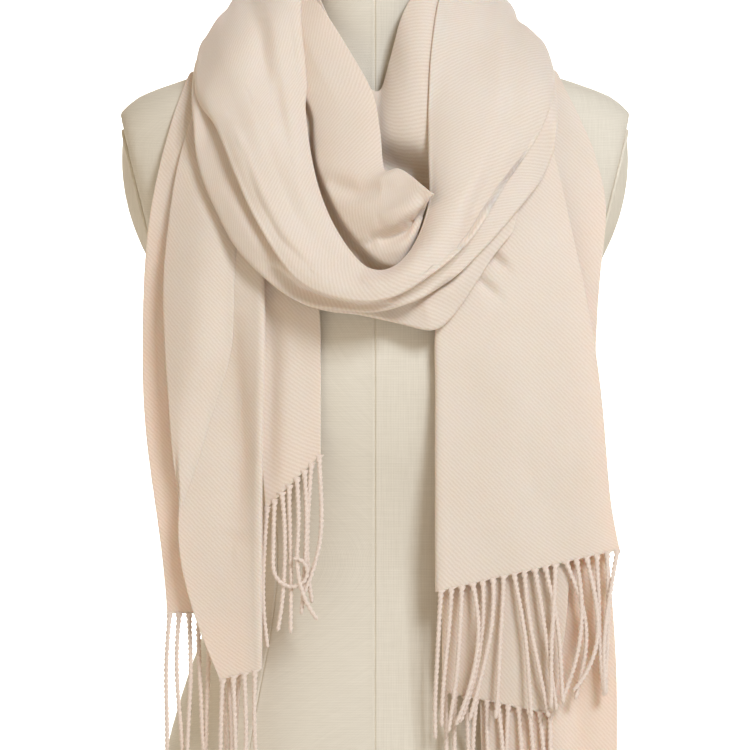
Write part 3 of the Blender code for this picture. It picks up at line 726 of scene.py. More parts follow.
def place_on_cloth(grid, closed):
    """Distances across and along the cloth of each point, in millimetres."""
    across = np.cumsum(np.linalg.norm(np.diff(grid, axis=1), axis=2), axis=1)
    across = np.concatenate([np.zeros((len(grid), 1)), across], axis=1)
    across -= across[:, -1:] / 2
    rows = np.concatenate([grid, grid[:1]]) if closed else grid
    along = np.cumsum(np.linalg.norm(np.diff(rows, axis=0), axis=2).mean(axis=1))
    return across, np.concatenate([[0], along])


def make_mesh_object(name, points, faces, places, material):
    """A smooth object from points in millimetres, with one place on the cloth for each face corner."""
    mesh = bpy.data.meshes.new(name)
    mesh.from_pydata((np.asarray(points) * MM).tolist(), [], faces)
    layer = mesh.uv_layers.new(name="Cloth")
    layer.uv.foreach_set("vector", (np.asarray(places, np.float32) * MM).ravel())
    mesh.shade_smooth()
    mesh.materials.append(material)
    item = bpy.data.objects.new(name, mesh)
    bpy.context.scene.collection.objects.link(item)
    return item


def ring_faces(rings, count):
    """Faces between rings of this many points, and flat ends: the first one, the sides, the last one."""
    sides = [(low + k, low + (k + 1) % count, low + count + (k + 1) % count, low + count + k)
             for low in range(0, (rings - 1) * count, count) for k in range(count)]
    return tuple(reversed(range(count))), sides, tuple(range((rings - 1) * count, rings * count))


def make_shell(name, grid, closed, face, material):
    """Cloth of even thickness on both sides of a fine middle surface, with its cut edges rounded."""
    rows, columns = grid.shape[:2]
    across, along = place_on_cloth(grid, closed)
    from_edge = np.minimum(across - across[:, :1], across[:, -1:] - across)
    if not closed:
        from_edge = np.minimum(from_edge, np.minimum(along, along[-1] - along)[:, None])
    inwards = np.clip(from_edge / (WALL / 2), 0, 1)
    half = WALL / 2 * np.sqrt(np.maximum(1 - (1 - inwards) ** 2, EDGE_THICKNESS_SQUARED))
    normal = surface_normals(grid, closed) * half[..., None]
    points = np.concatenate([(grid + normal).reshape(-1, 3), (grid - normal).reshape(-1, 3)])
    below = rows * columns
    faces, places = [], []

    def add(corners):
        faces.append([(i % rows) * columns + j + side * below for i, j, side in corners])
        for i, j, side in corners:
            places.append((face * across[i % rows, j], along[i]))

    for i in range(rows if closed else rows - 1):
        for j in range(columns - 1):
            add([(i, j, 0), (i, j + 1, 0), (i + 1, j + 1, 0), (i + 1, j, 0)])
            add([(i, j, 1), (i + 1, j, 1), (i + 1, j + 1, 1), (i, j + 1, 1)])
        add([(i, 0, 0), (i + 1, 0, 0), (i + 1, 0, 1), (i, 0, 1)])
        add([(i, columns - 1, 0), (i, columns - 1, 1), (i + 1, columns - 1, 1), (i + 1, columns - 1, 0)])
    if not closed:
        for j in range(columns - 1):
            add([(0, j, 0), (0, j, 1), (0, j + 1, 1), (0, j + 1, 0)])
            add([(rows - 1, j, 0), (rows - 1, j + 1, 0), (rows - 1, j + 1, 1), (rows - 1, j, 1)])
    return make_mesh_object(name, points, faces, places, material)


solids = Pile(REST)
laid = Pile(WALL / 2 + CLEARANCE)
# The hem of each hanging end that shows: its piece, its line, its outward directions and its flat size.
hems = {}


def lift_off(pile, grid, outward):
    """How far out each point must move, or in if negative, to rest on the pile."""
    lift = np.zeros(grid.shape[:2])
    for i in range(len(grid)):
        for j in range(grid.shape[1]):
            lift[i, j] = pile.resting_lift(grid[i, j], outward[i, j], FINE_REACH)
    return lift


def shape_cloth(name, stretch, lengthwise, steps, near_edge, far_edge):
    """Fine middle surface of one stretch, clear of the cloth laid before, and its outward directions."""
    rows, outward = stretch.lay(solids, lengthwise, steps, near_edge, far_edge)
    solids.add(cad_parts[name])
    # Each point carries its place, its outward direction, and how free it is, settles and sinks.
    rows, loose = open_edges(name, rows, outward, len(EDGE_PROFILES[near_edge]), len(stretch.rows))
    spread = np.repeat(outward[:, None], rows.shape[1], axis=1)
    combined = finer(np.concatenate([rows, spread, loose], axis=2), FINE_SPACING)
    combined = np.swapaxes(finer(np.swapaxes(combined, 0, 1), FINE_SPACING, stretch.closed), 0, 1)
    combined = round_off(combined)
    if not stretch.closed:
        combined = np.swapaxes(round_off(np.swapaxes(combined, 0, 1)), 0, 1)
    grid, outward = combined[..., :3], unit(combined[..., 3:6])
    free, settle, sink = (np.clip(combined[..., k], 0, None) for k in (6, 7, 8))
    across, along = place_on_cloth(grid, stretch.closed)
    if name in PRESSED:
        pressed = PRESSED[name]
        inwards = across[:, -1:] - across
        free = settle = smooth_step(1 - inwards / pressed.width)
        sink = pressed.sink * smooth_step(1 - inwards / pressed.edge_width)
    height = fold_height(grid, FINE_FOLDS.get(name, ()))
    fade = np.ones(len(grid))
    if stretch.closed:
        ring = np.arange(len(grid)) * 2 * math.pi / len(grid)
        fade = np.clip(1 + RIPPLE_AT_START - np.cos(ring), 0, 1)
    wave = ripple(across, np.repeat(along[:len(grid), None], grid.shape[1], axis=1), name)
    grid = grid + outward * (height + wave * fade[:, None])[..., None]
    resting = lift_off(laid, grid, outward)
    clear = smooth_lift(np.maximum(resting, 0), stretch.closed)
    settled = np.where(resting > -FINE_REACH + FOUND_MARGIN, resting, 0) * np.minimum(settle, 1) - sink
    settled = smooth_lift(settled, stretch.closed, picks=(np.mean,))
    free = np.minimum(free, 1)
    return grid + outward * (clear * (1 - free) + settled * free)[..., None], outward


def finish_cloth(name, grid, closed, face, material):
    """The stretch's shell in the place of its solid, and its flat size."""
    item = make_shell(name + "_cloth", grid, closed, face, material)
    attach(item, "root")
    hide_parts(name)
    across, along = place_on_cloth(grid, closed)
    return item, (float((across[:, -1] - across[:, 0]).mean()) * MM, float(along[-1]) * MM)


# ---------------------------------------------------------------- fringe
STRAND_PITCH = 8.5
STRAND_WIDTH = 3.4
STRAND_LENGTH = 116.0
ROOT_STRIP_END = 0.4
# A strand starts this far up in the hem. It is wider there by this share, which fades over this length, and
# it closes to its tip over another.
ROOT_OVERLAP = 1.2
FLARE = 1.1
FLARE_LENGTH = 2.4
TIP_LENGTH = 2.0
# Distance along a strand from one ply to the next, how deep its two plies show, and the part of it from
# which it may curl.
PLY_SPACING = 4.2
PLY_DEPTH = 0.24
CURL_FROM = 0.45
# How a strand leaves the plumb line: swing and curl grow down the strand to these powers, and it wavers by
# this many millimetres through this angle. It leans forwards soon, and further where it curls. Its width
# falls by the last share on the way to the tip.
SWING_POWER = 1.4
CURL_POWER = 1.3
WAVER = 0.9
WAVER_ANGLE = 6
LEAN_STEEPNESS = 2.4
CURL_LEAN = 1.4
THINNING = 0.1
# Lengths of strands vary between this share of the fringe's and the whole.
SHORTEST_STRAND = 0.93
STRAND_STEPS = 130
STRAND_SIDES = 10

# Where the strands of a fringe hang, from the viewer's left: how far the end swings, how far the middle
# bows out, how far forward the strand lies, and how far its end curls round, in radians.
Hang = namedtuple("Hang", "end bow forward curl", defaults=(0.0,))
HANGS = {
    "right_tail_front": [
        Hang(-4, -2, 1), Hang(-8, -1, 0), Hang(-10, 0, 3), Hang(-15, 9, 6), Hang(-18, 4, 2),
        Hang(-20, 3, 4), Hang(-7, 0, 1), Hang(14, 4, 2), Hang(19, 0, 0), Hang(16, 3, 2), Hang(14, 5, 4),
        Hang(-5, -1, 6), Hang(9, 13, 1), Hang(-12, 8, 3), Hang(7, 6, 5, -0.7), Hang(5, 0, 2),
        Hang(-1, 1, 0), Hang(-11, -5, 4),
    ],
    "left_tail_inner": [
        Hang(0, -3, 1), Hang(3, -2, 4, 4.6), Hang(-4, 4, 2), Hang(2, 0, 0), Hang(-6, 3, 5, 0.8),
        Hang(-3, 3, 2), Hang(0, -3, 0), Hang(-1, 2, 3, -0.4),
    ],
    "left_tail_front": [Hang(-3, -1, 0), Hang(2, 1, 2), Hang(-2, 2, 1), Hang(3, -1, 0), Hang(0, 1, 2)],
    "left_tail_back": [
        Hang(-2, -2, 1), Hang(3, -3, 0), Hang(-1, 2, 2), Hang(5, -1, 1), Hang(-3, 1, 0), Hang(6, 2, 2),
        Hang(2, 0, 1), Hang(-4, 2, 0),
    ],
}


def strand(root, side, forward, length, hang, phase, width):
    """A two-ply twisted strand that hangs from its root: points ring by ring, faces and their places."""
    t = np.linspace(0, 1, STRAND_STEPS + 1)
    waver = WAVER * np.sin(phase + WAVER_ANGLE * t) * t
    swing = hang.end * t ** SWING_POWER + hang.bow * np.sin(math.pi * t) + waver
    curl = np.clip((t - CURL_FROM) / (1 - CURL_FROM), 0, 1) ** CURL_POWER
    heading = np.arctan(np.gradient(swing, t) / length) + hang.curl * curl
    run = length * t
    step = length / STRAND_STEPS
    sideways = np.concatenate([[0], np.cumsum(np.sin(heading[1:]) * step)])
    drop = np.concatenate([[0], np.cumsum(np.cos(heading[1:]) * step)])
    lean = hang.forward * np.sin(np.minimum(LEAN_STEEPNESS * t, 1) * math.pi / 2)
    lean = lean + CURL_LEAN * abs(hang.curl) * curl
    up = np.array([0, 0, 1.0])
    middle = root + side * sideways[:, None] + forward * lean[:, None] - up * drop[:, None]
    wide_way = side * np.cos(heading)[:, None] + up * np.sin(heading)[:, None]
    angles = 2 * math.pi * np.arange(STRAND_SIDES) / STRAND_SIDES
    twist = math.pi * run / PLY_SPACING + phase
    lobes = 1 + PLY_DEPTH * np.cos(2 * (angles[None] - twist[:, None]))
    flare = 1 + FLARE * np.exp(-run / FLARE_LENGTH)
    tip = np.sqrt(np.clip((length - run) / TIP_LENGTH, 0.08, 1))
    ring = (width / 2 * (1 - THINNING * t) * tip)[:, None] * lobes
    wide = ring * np.cos(angles)[None] * flare[:, None]
    deep = ring * np.sin(angles)[None]
    points = middle[:, None] + wide_way[:, None] * wide[..., None] + forward * deep[..., None]
    root_end, sides, tip_end = ring_faces(STRAND_STEPS + 1, STRAND_SIDES)
    places = []
    for i in range(STRAND_STEPS):
        for k in range(STRAND_SIDES):
            u0, u1 = (n * width * math.pi / STRAND_SIDES for n in (k, k + 1))
            places.extend([(u0, run[i]), (u1, run[i]), (u1, run[i + 1]), (u0, run[i + 1])])
    places.extend([(0, 0)] * (2 * STRAND_SIDES))
    return points.reshape(-1, 3), sides + [root_end, tip_end], places


def make_fringe(name, seed, material, pitch, width, length):
    """All strands of one hem, as one piece."""
    hem, outward = hems[name]["hem"], hems[name]["outward"]
    chooser = random.Random(seed)
    lengths = np.concatenate([[0], np.cumsum(np.linalg.norm(np.diff(hem, axis=0), axis=1))])
    count = max(2, int(round((lengths[-1] - STRAND_WIDTH) / pitch)) + 1)
    first = STRAND_WIDTH / 2 + ROOT_STRIP_END
    centres = np.linspace(first, lengths[-1] - first, count)
    table = HANGS.get(name, ())
    points, faces, places, total = [], [], [], 0
    for k, centre in enumerate(centres):
        root, facing = (np.array([np.interp(centre, lengths, values[:, axis]) for axis in range(3)])
                        for values in (hem, outward))
        facing = unit(facing * [1, 1, 0])
        side = np.cross([0, 0, 1], facing)
        if table:
            hang = table[k % len(table)]
        else:
            hang = Hang(chooser.uniform(-8, 8), chooser.uniform(-4, 4), chooser.uniform(0, 3),
                        chooser.choice((0, 0, 0, 0.8, -0.9)))
        size = length * chooser.uniform(SHORTEST_STRAND, 1.0)
        ring, quads, spots = strand(root + [0, 0, ROOT_OVERLAP], side, facing, size, hang,
                                    chooser.uniform(0, 2 * math.pi), width)
        points.append(ring)
        faces.extend(tuple(index + total for index in quad) for quad in quads)
        places.extend(spots)
        total += len(ring)
    item = make_mesh_object("fringe_" + name + "_strands", np.concatenate(points), faces, places, material)
    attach(item, "root")
    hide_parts("fringe_" + name)
    return item


# ---------------------------------------------------------------- materials
def linear(hex_colour):
    """Linear red, green and blue of an sRGB colour such as #E4D4C7."""
    parts = [int(hex_colour[k:k + 2], 16) / 255 for k in (1, 3, 5)]
    return tuple(p / 12.92 if p <= 0.04045 else ((p + 0.055) / 1.055) ** 2.4 for p in parts)


# A mix of two colours: its inputs are 0 for the share and 6 and 7 for the colours. In a mix of two numbers
# they are 0, 2 and 3.
COLOUR_MIX = {"output": 2, "data_type": "RGBA"}


def add_node(tree, kind, inputs, output=0, **settings):
    """Adds a node with its settings; an input is a value or another node's output. Gives one output."""
    node = tree.nodes.new("ShaderNode" + kind)
    for name, value in settings.items():
        setattr(node, name, value)
    for key, value in inputs.items():
        if isinstance(value, bpy.types.NodeSocket):
            tree.links.new(value, node.inputs[key])
        else:
            node.inputs[key].default_value = value
    return node.outputs[output]


def rgba(colour):
    return (*colour, 1.0)


def new_material(name, **uniform):
    """A material whose shader has these numbers all over, and its node tree."""
    material = bpy.data.materials.new(name)
    material.use_nodes = True
    inputs = material.node_tree.nodes["Principled BSDF"].inputs
    for key, value in uniform.items():
        inputs[key.replace("_", " ")].default_value = value
    return material, material.node_tree


def finish_material(material, normal, colour=None):
    """Links the normal, and the colour where it isn't the same all over, to the material's shader."""
    shader = material.node_tree.nodes["Principled BSDF"].inputs
    material.node_tree.links.new(normal, shader["Normal"])
    if colour is not None:
        material.node_tree.links.new(colour, shader["Base Color"])
    return material


# A wave texture's bands repeat after 2 pi / (20 x scale) along an axis, and after twice that on a slant.
AXIS_BAND = 2 * math.pi / 20
SLANTED_BAND = 2 * math.pi / (10 * math.sqrt(2))


def brushed_twill(settings):
    """Brushed wool-soft twill: slanted wales under a raised nap give a matt, warm face with a pale bloom."""
    material, tree = new_material(
        "Brushed twill", Roughness=0.92, Specular_IOR_Level=0.15, Sheen_Weight=0.3, Sheen_Roughness=0.5,
        Sheen_Tint=rgba(linear("#FFF4EA")), Subsurface_Weight=0.3, Subsurface_Radius=(1.0, 0.5, 0.28),
        Subsurface_Scale=0.006)
    place = add_node(tree, "UVMap", {}, uv_map="Cloth")
    # The wales run at 45 degrees; their real spacing of 1.2 mm is drawn at the 2.5 mm that shows.
    wales = add_node(tree, "TexWave", {
        "Vector": place, "Scale": SLANTED_BAND / settings.wale_spacing, "Distortion": 2.2, "Detail": 2.0,
        "Detail Scale": 1.4}, output=1, bands_direction="DIAGONAL")
    # Weft threads break each wale into short slubs, 1.1 mm apart along the cloth.
    slubs = add_node(tree, "TexWave", {
        "Vector": place, "Scale": AXIS_BAND / 0.0011, "Distortion": 1.5, "Detail": 1.0}, output=1,
        bands_direction="Y")
    # Nap: fibres 0.4 mm apart in tufts; drawn 1.1 mm apart so that they show. Brushing
    # leaves patches about 45 mm across.
    nap = add_node(tree, "TexNoise", {"Vector": place, "Scale": 900.0, "Detail": 4.0, "Roughness": 0.7})
    patches = add_node(tree, "TexNoise", {"Vector": place, "Scale": 22.0, "Detail": 3.0})
    woven = add_node(tree, "Mix", {0: wales, 6: rgba(settings.cloth_shade), 7: rgba(settings.cloth_colour)},
                     **COLOUR_MIX)
    napped = add_node(tree, "Mix", {0: 0.22, 6: woven, 7: nap}, blend_type="OVERLAY", **COLOUR_MIX)
    bloomed = add_node(tree, "Mix", {0: patches, 6: napped, 7: rgba(settings.cloth_bloom)}, **COLOUR_MIX)
    colour = add_node(tree, "Mix", {0: 0.45, 6: napped, 7: bloomed}, **COLOUR_MIX)
    ribs = add_node(tree, "Bump", {"Height": wales, "Strength": 0.09, "Distance": 0.0004})
    threads = add_node(tree, "Bump", {
        "Height": slubs, "Strength": 0.08, "Distance": 0.0003, "Normal": ribs})
    fuzz = add_node(tree, "Bump", {"Height": nap, "Strength": 0.3, "Distance": 0.0005, "Normal": threads})
    return finish_material(material, fuzz, colour)


def twisted_yarn(settings):
    """Two-ply twisted wool-soft yarn: fine fibres wind round each ply, and stray hairs make it matt."""
    material, tree = new_material(
        "Twisted yarn", Roughness=0.9, Specular_IOR_Level=0.15, Sheen_Weight=0.3, Sheen_Roughness=0.5)
    place = add_node(tree, "UVMap", {}, uv_map="Cloth")
    # Fibres lie 0.7 mm apart and wind on a slant, with stray hairs drawn 1.1 mm apart.
    fibres = add_node(tree, "TexWave", {
        "Vector": place, "Scale": SLANTED_BAND / 0.0007, "Distortion": 2.0, "Detail": 2.0}, output=1,
        bands_direction="DIAGONAL")
    hairs = add_node(tree, "TexNoise", {"Vector": place, "Scale": 900.0, "Detail": 3.0})
    spun = add_node(tree, "Mix", {0: fibres, 6: rgba(settings.cloth_shade), 7: rgba(settings.yarn_colour)},
                    **COLOUR_MIX)
    colour = add_node(tree, "Mix", {0: 0.3, 6: spun, 7: hairs}, blend_type="OVERLAY", **COLOUR_MIX)
    normal = add_node(tree, "Bump", {"Height": hairs, "Strength": 0.4, "Distance": 0.0004})
    return finish_material(material, normal, colour)


def linen_canvas(settings):
    """Natural linen canvas: plain weave with slubs, so crossing threads show light and dark."""
    material, tree = new_material("Natural linen canvas", Roughness=0.85, Specular_IOR_Level=0.25)
    place = add_node(tree, "UVMap", {}, uv_map="Cloth")
    # Threads are 0.6 mm apart in fact, and drawn 1.3 mm apart so that the weave shows.
    warp, weft = (add_node(tree, "TexWave", {
        "Vector": place, "Scale": AXIS_BAND / 0.0013, "Distortion": 1.0, "Detail": 1.0}, output=1,
        bands_direction=way) for way in ("X", "Y"))
    # Slubs are 25 mm long in the way of their thread and 1.4 mm thick.
    stems, slubs = (add_node(tree, "TexNoise", {
        "Vector": add_node(tree, "Mapping", {"Vector": place, "Scale": scale}),
        "Scale": 1.0, "Detail": 3.0}) for scale in ((700.0, 40.0, 1.0), (40.0, 700.0, 1.0)))
    weave = add_node(tree, "Mix", {0: 0.5, 2: warp, 3: weft})
    slubbed = add_node(tree, "Mix", {0: 0.5, 2: stems, 3: slubs})
    mixed = add_node(tree, "Mix", {0: 0.65, 2: weave, 3: slubbed})
    colour = add_node(tree, "Mix", {0: mixed, 6: rgba(settings.linen_shade), 7: rgba(settings.linen_colour)},
                      **COLOUR_MIX)
    normal = add_node(tree, "Bump", {"Height": mixed, "Strength": 0.35, "Distance": 0.0003})
    return finish_material(material, normal, colour)


def varnished_beech(settings):
    """Beech under satin varnish: fine long grain with short dark flecks."""
    material, tree = new_material("Varnished beech", Roughness=0.38, Coat_Weight=0.25, Coat_Roughness=0.25)
    place = add_node(tree, "TexCoord", {}, output=3)
    # Grain bands are 6 mm wide and 70 mm long, flecks 0.7 mm wide and 4 mm long.
    grain, flecks = (add_node(tree, "TexNoise", {
        "Vector": add_node(tree, "Mapping", {"Vector": place, "Scale": scale}),
        "Scale": 1.0, "Detail": 4.0}) for scale in ((14.0, 160.0, 160.0), (250.0, 1500.0, 1500.0)))
    mixed = add_node(tree, "Mix", {0: 0.32, 2: grain, 3: flecks})
    colour = add_node(tree, "Mix", {0: mixed, 6: rgba(settings.wood_shade), 7: rgba(settings.wood_colour)},
                      **COLOUR_MIX)
    normal = add_node(tree, "Bump", {"Height": mixed, "Strength": 0.12, "Distance": 0.0003})
    return finish_material(material, normal, colour)


def matt_paper(settings):
    """Matt studio paper: pale, with a faint tooth."""
    material, tree = new_material("Matt studio paper", Roughness=0.95, Specular_IOR_Level=0.1,
                                  Base_Color=rgba(settings.paper_colour))
    place = add_node(tree, "TexCoord", {}, output=3)
    # The tooth is drawn 2.5 mm apart so that it shows.
    tooth = add_node(tree, "TexNoise", {"Vector": place, "Scale": 400.0, "Detail": 2.0})
    normal = add_node(tree, "Bump", {"Height": tooth, "Strength": 0.05, "Distance": 0.0005})
    return finish_material(material, normal)


# ---------------------------------------------------------------- the dress form
# The form's outline has this many points, and a board takes one in every eight of them.
OUTLINE_POINTS = 1440
BOARD_STEP = 8
# An edge of the cover, or of a board or plate, is sharp from these angles on.
COVER_SHARP_FROM = math.radians(60)
BODY_SHARP_FROM = math.radians(40)
# What is less wide than this from left to right stands upright.
LEAST_LYING_WIDTH = 20
# Edge rounding of the boards, and how far the neck disc stays inside the form.
BASE_ROUNDING = 2.5
DISC_ROUNDING = 3.5
DISC_INSET = 1.0


def arm_plane(height):
    return ARM_PLANE + ARM_PLANE_SLOPE * (height - ARM_PLATE_CENTRE_Z)


def form_outline(height, grow=0.0):
    """Dense closed outline of the form at one height, from the middle of the front, to the viewer's right."""
    angles = -math.pi / 2 + 2 * math.pi * np.arange(OUTLINE_POINTS) / OUTLINE_POINTS
    half_width, front, back = form_section(np.array([height]))[0] + grow
    exponent = 2 / FORM_ROUNDNESS
    x = half_width * np.sign(np.cos(angles)) * np.abs(np.cos(angles)) ** exponent
    depth = np.where(np.sin(angles) < 0, front, back)
    y = depth * np.sign(np.sin(angles)) * np.abs(np.sin(angles)) ** exponent
    limit = arm_plane(height) if height > ARM_FLAT_FROM else half_width
    return np.stack([np.clip(x, -limit, limit), y], axis=1)


# Seams of the cover, as shares of the way round from the middle of the front.
SEAMS = (0.0, 0.11, 0.25, 0.39, 0.5, 0.61, 0.75, 0.89)
SEAMS_TO_NECK = (0.0, 0.25, 0.5, 0.75)
SEAM_REACH = 2.4
SEAM_PROFILE = (
    (-SEAM_REACH, 0.0), (-1.2, 0.25), (-0.45, -0.1), (0.0, -0.75),
    (0.45, -0.1), (1.2, 0.25), (SEAM_REACH, 0.0),
)
PANEL_COLUMNS = 14
# Rings of the cover lie this far apart, and closer at the shoulders and the neck.
RING_SPACING = 5.0
FINE_RING_SPACING = 2.5
FINE_RINGS_FROM = 640
# The seams that don't run up the neck end at this height and fade out over the last stretch.
SEAMS_END = 668
SEAMS_FADE = 20
# The outline's direction at a point is taken from this far behind it to this far ahead.
TANGENT_REACH = 2


def make_torso(material):
    """The padded body under a fitted linen cover, with sewn seams."""
    heights = np.concatenate([np.arange(FORM_HEIGHTS[0], FINE_RINGS_FROM, RING_SPACING),
                              np.arange(FINE_RINGS_FROM, NECK_TOP, FINE_RING_SPACING), [NECK_TOP]])
    points, places_at = [], []
    for height in heights:
        outline = form_outline(height)
        closed = np.concatenate([outline, outline[:1]])
        run = np.concatenate([[0], np.cumsum(np.linalg.norm(np.diff(closed, axis=0), axis=1))])
        total = run[-1]
        at, dips = [], []
        for k, seam in enumerate(SEAMS):
            depth = 1.0 if seam in SEAMS_TO_NECK else float(np.clip((SEAMS_END - height) / SEAMS_FADE, 0, 1))
            after = SEAMS[k + 1] if k + 1 < len(SEAMS) else 1.0
            at.extend(seam * total + offset for offset, dip in SEAM_PROFILE)
            dips.extend(dip * depth for offset, dip in SEAM_PROFILE)
            low, high = seam * total + SEAM_REACH, after * total - SEAM_REACH
            at.extend(np.linspace(low, high, PANEL_COLUMNS + 2)[1:-1])
            dips.extend([0.0] * PANEL_COLUMNS)
        at = np.array(at)
        place, ahead, behind = (
            np.stack([np.interp(np.mod(at + shift, total), run, closed[:, axis]) for axis in (0, 1)], axis=1)
            for shift in (0, TANGENT_REACH, -TANGENT_REACH))
        tangent = unit(ahead - behind)
        place = place + np.stack([tangent[:, 1], -tangent[:, 0]], axis=1) * np.array(dips)[:, None]
        points.append(np.column_stack([place, np.full(len(place), height)]))
        places_at.append(np.append(at, 2 * at[-1] - at[-2]))
    grid = np.stack(points)
    rows, columns = grid.shape[:2]
    bottom, sides, top = ring_faces(rows, columns)
    places = []
    for i in range(rows - 1):
        for j in range(columns):
            places.extend([(places_at[i][j], heights[i]), (places_at[i][j + 1], heights[i]),
                           (places_at[i + 1][j + 1], heights[i + 1]), (places_at[i + 1][j], heights[i + 1])])
    places.extend(tuple(place) for place in grid[0, ::-1, :2])
    places.extend(tuple(place) for place in grid[-1, :, :2])
    faces = sides + [bottom, top]
    item = make_mesh_object("form_torso_cover", grid.reshape(-1, 3), faces, places, material)
    item.data.set_sharp_from_angle(angle=COVER_SHARP_FROM)
    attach(item, "root")
    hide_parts("form_torso")
    return item


def make_rings(name, rings, material, node):
    """A closed body through rings of equal point count, with flat ends, in the place of its solid."""
    points = np.concatenate(rings)
    bottom, sides, top = ring_faces(len(rings), len(rings[0]))
    faces = [bottom, *sides, top]
    flat = points[:, :2] if np.ptp(points[:, 0]) > LEAST_LYING_WIDTH else points[:, 1:]
    places = [flat[index] for face in faces for index in face]
    item = make_mesh_object(name, points, faces, places, material)
    item.data.set_sharp_from_angle(angle=BODY_SHARP_FROM)
    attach(item, "root")
    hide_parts(node)


def lathe_profile(thickness, edge, steps=5):
    """Height and inset of rings that round both edges of a board."""
    turns = [math.pi / 2 * k / steps for k in range(steps + 1)]
    low = [(edge * (1 - math.cos(a)), edge * (1 - math.sin(a))) for a in turns]
    high = [(thickness - h, inset) for h, inset in reversed(low)]
    return low + high


def make_boards(wood):
    every = slice(0, OUTLINE_POINTS, BOARD_STEP)
    rings = []
    for height, inset in lathe_profile(BASE_THICKNESS, BASE_ROUNDING):
        outline = form_outline(FORM_HEIGHTS[0], -BASE_INSET - inset)[every]
        rings.append(np.column_stack([outline, np.full(len(outline), height)]))
    make_rings("form_base_board", rings, wood, "form_base")
    rings = []
    for height, inset in lathe_profile(NECK_CAP_THICKNESS, DISC_ROUNDING):
        outline = form_outline(NECK_TOP, -DISC_INSET - inset)[every]
        rings.append(np.column_stack([outline, np.full(len(outline), NECK_TOP + GAP + height)]))
    make_rings("form_neck_disc", rings, wood, "form_neck_cap")


# The padded plate that closes each arm: height above the flat, and inset of the outline. Its cover is
# piped: a narrow groove runs inside its rounded rim.
Dome = namedtuple("Dome", "height inset")
PLATE_RIM = [Dome(0.3, 0.5), Dome(0.8, 0.0), Dome(1.8, 0.0), Dome(2.7, 0.5), Dome(3.1, 1.4), Dome(2.9, 2.3),
             Dome(2.5, 2.9), Dome(2.7, 3.5)]
PLATE_DOME_HEIGHT = 13.0
PLATE_DOME_FROM = 4.2
PLATE_DOME_STEPS = 14
PLATE_POINTS = 96


def make_arm_plates(linen):
    turn = 2 * math.pi * np.arange(PLATE_POINTS) / PLATE_POINTS
    slope = [k / PLATE_DOME_STEPS for k in range(PLATE_DOME_STEPS)]
    reach = ARM_PLATE_HALF_DEPTH - PLATE_DOME_FROM
    dome = [Dome(PLATE_RIM[-1].height + (PLATE_DOME_HEIGHT - PLATE_RIM[-1].height) * (1 - (1 - t) ** 2),
                 PLATE_DOME_FROM + reach * t) for t in slope]
    for node, side in (("form_arm_plate_left", -1), ("form_arm_plate_right", 1)):
        rings = []
        for height, inset in PLATE_RIM + dome:
            y = ARM_PLATE_CENTRE_Y + (ARM_PLATE_HALF_DEPTH - inset) * np.cos(turn) * side
            share = (ARM_PLATE_HALF_DEPTH - inset) / ARM_PLATE_HALF_DEPTH
            z = ARM_PLATE_CENTRE_Z + ARM_PLATE_HALF_HEIGHT * share * np.sin(turn)
            rings.append(np.stack([side * (arm_plane(z) + height), y, z], axis=1))
        make_rings(node + "_cover", rings, linen, node)


# ---------------------------------------------------------------- settings
def colour_setting(name, description, hex_colour):
    return FloatVectorProperty(name=name, description=description, subtype="COLOR", size=3, min=0, max=1,
                               default=linear(hex_colour))


def length_setting(name, description, default, low, high):
    return FloatProperty(name=name, description=description, default=default, min=low, max=high,
                         unit="LENGTH", subtype="DISTANCE")


def power_setting(name, description, default):
    return FloatProperty(name=name, description=description, default=default, min=0, unit="POWER")


class ScarfSettings(bpy.types.PropertyGroup):
    wale_spacing: length_setting("Wale spacing", "Distance between the slanted twill lines", 0.0025,
                                 0.0005, 0.01)
    strand_pitch: length_setting("Strand pitch", "Distance between strands of the fringe", STRAND_PITCH * MM,
                                 0.003, 0.03)
    strand_width: length_setting("Strand width", "Thickness of a strand of the fringe", STRAND_WIDTH * MM,
                                 0.001, 0.008)
    strand_length: length_setting("Strand length", "Length of the fringe", STRAND_LENGTH * MM, 0.02, 0.12)
    cloth_colour: colour_setting("Cloth", "Raised wales of the twill", "#E8D1B9")
    cloth_shade: colour_setting("Cloth, between wales", "Threads between the wales", "#DFC5A9")
    cloth_bloom: colour_setting("Nap", "Pale bloom where the nap stands up", "#EADACA")
    yarn_colour: colour_setting("Fringe", "Yarn of the fringe", "#EBD9C7")


class FormSettings(bpy.types.PropertyGroup):
    linen_colour: colour_setting("Linen", "Light threads of the cover", "#EEE3CC")
    linen_shade: colour_setting("Linen, dark threads", "Dark threads of the cover", "#C9BBA0")
    wood_colour: colour_setting("Wood", "Light grain of the wood", "#C99A68")
    wood_shade: colour_setting("Wood, dark grain", "Dark grain and flecks of the wood", "#8A5A34")


class StageSettings(bpy.types.PropertyGroup):
    paper_colour: colour_setting("Paper", "Floor and backdrop", "#F4F3F1")
    key_power: power_setting("Key light", "Power of the main light", 160.0)
    fill_power: power_setting("Fill light", "Power of the second light", 13.0)
    paper_power: power_setting("Paper lights", "Power of each light on the backdrop", 150.0)
    back_power: power_setting("Back light", "Power of the light from behind", 22.0)
    sky_strength: FloatProperty(name="Sky", description="Even light from all around", default=0.32, min=0)


# ---------------------------------------------------------------- operators
class SCARF_OT_dress_form(bpy.types.Operator):
    """Builds the limbless dress form: cover, arm plates, neck disc and base board"""
    bl_idname = "scarf.dress_form"
    bl_label = "Dress form"

    def execute(self, context):
        settings = context.scene.scarf_form
        linen = linen_canvas(settings)
        torso = make_torso(linen)
        solids.add(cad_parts["form_torso"])
        laid.add(torso)
        make_arm_plates(linen)
        make_boards(varnished_beech(settings))
        return {"FINISHED"}


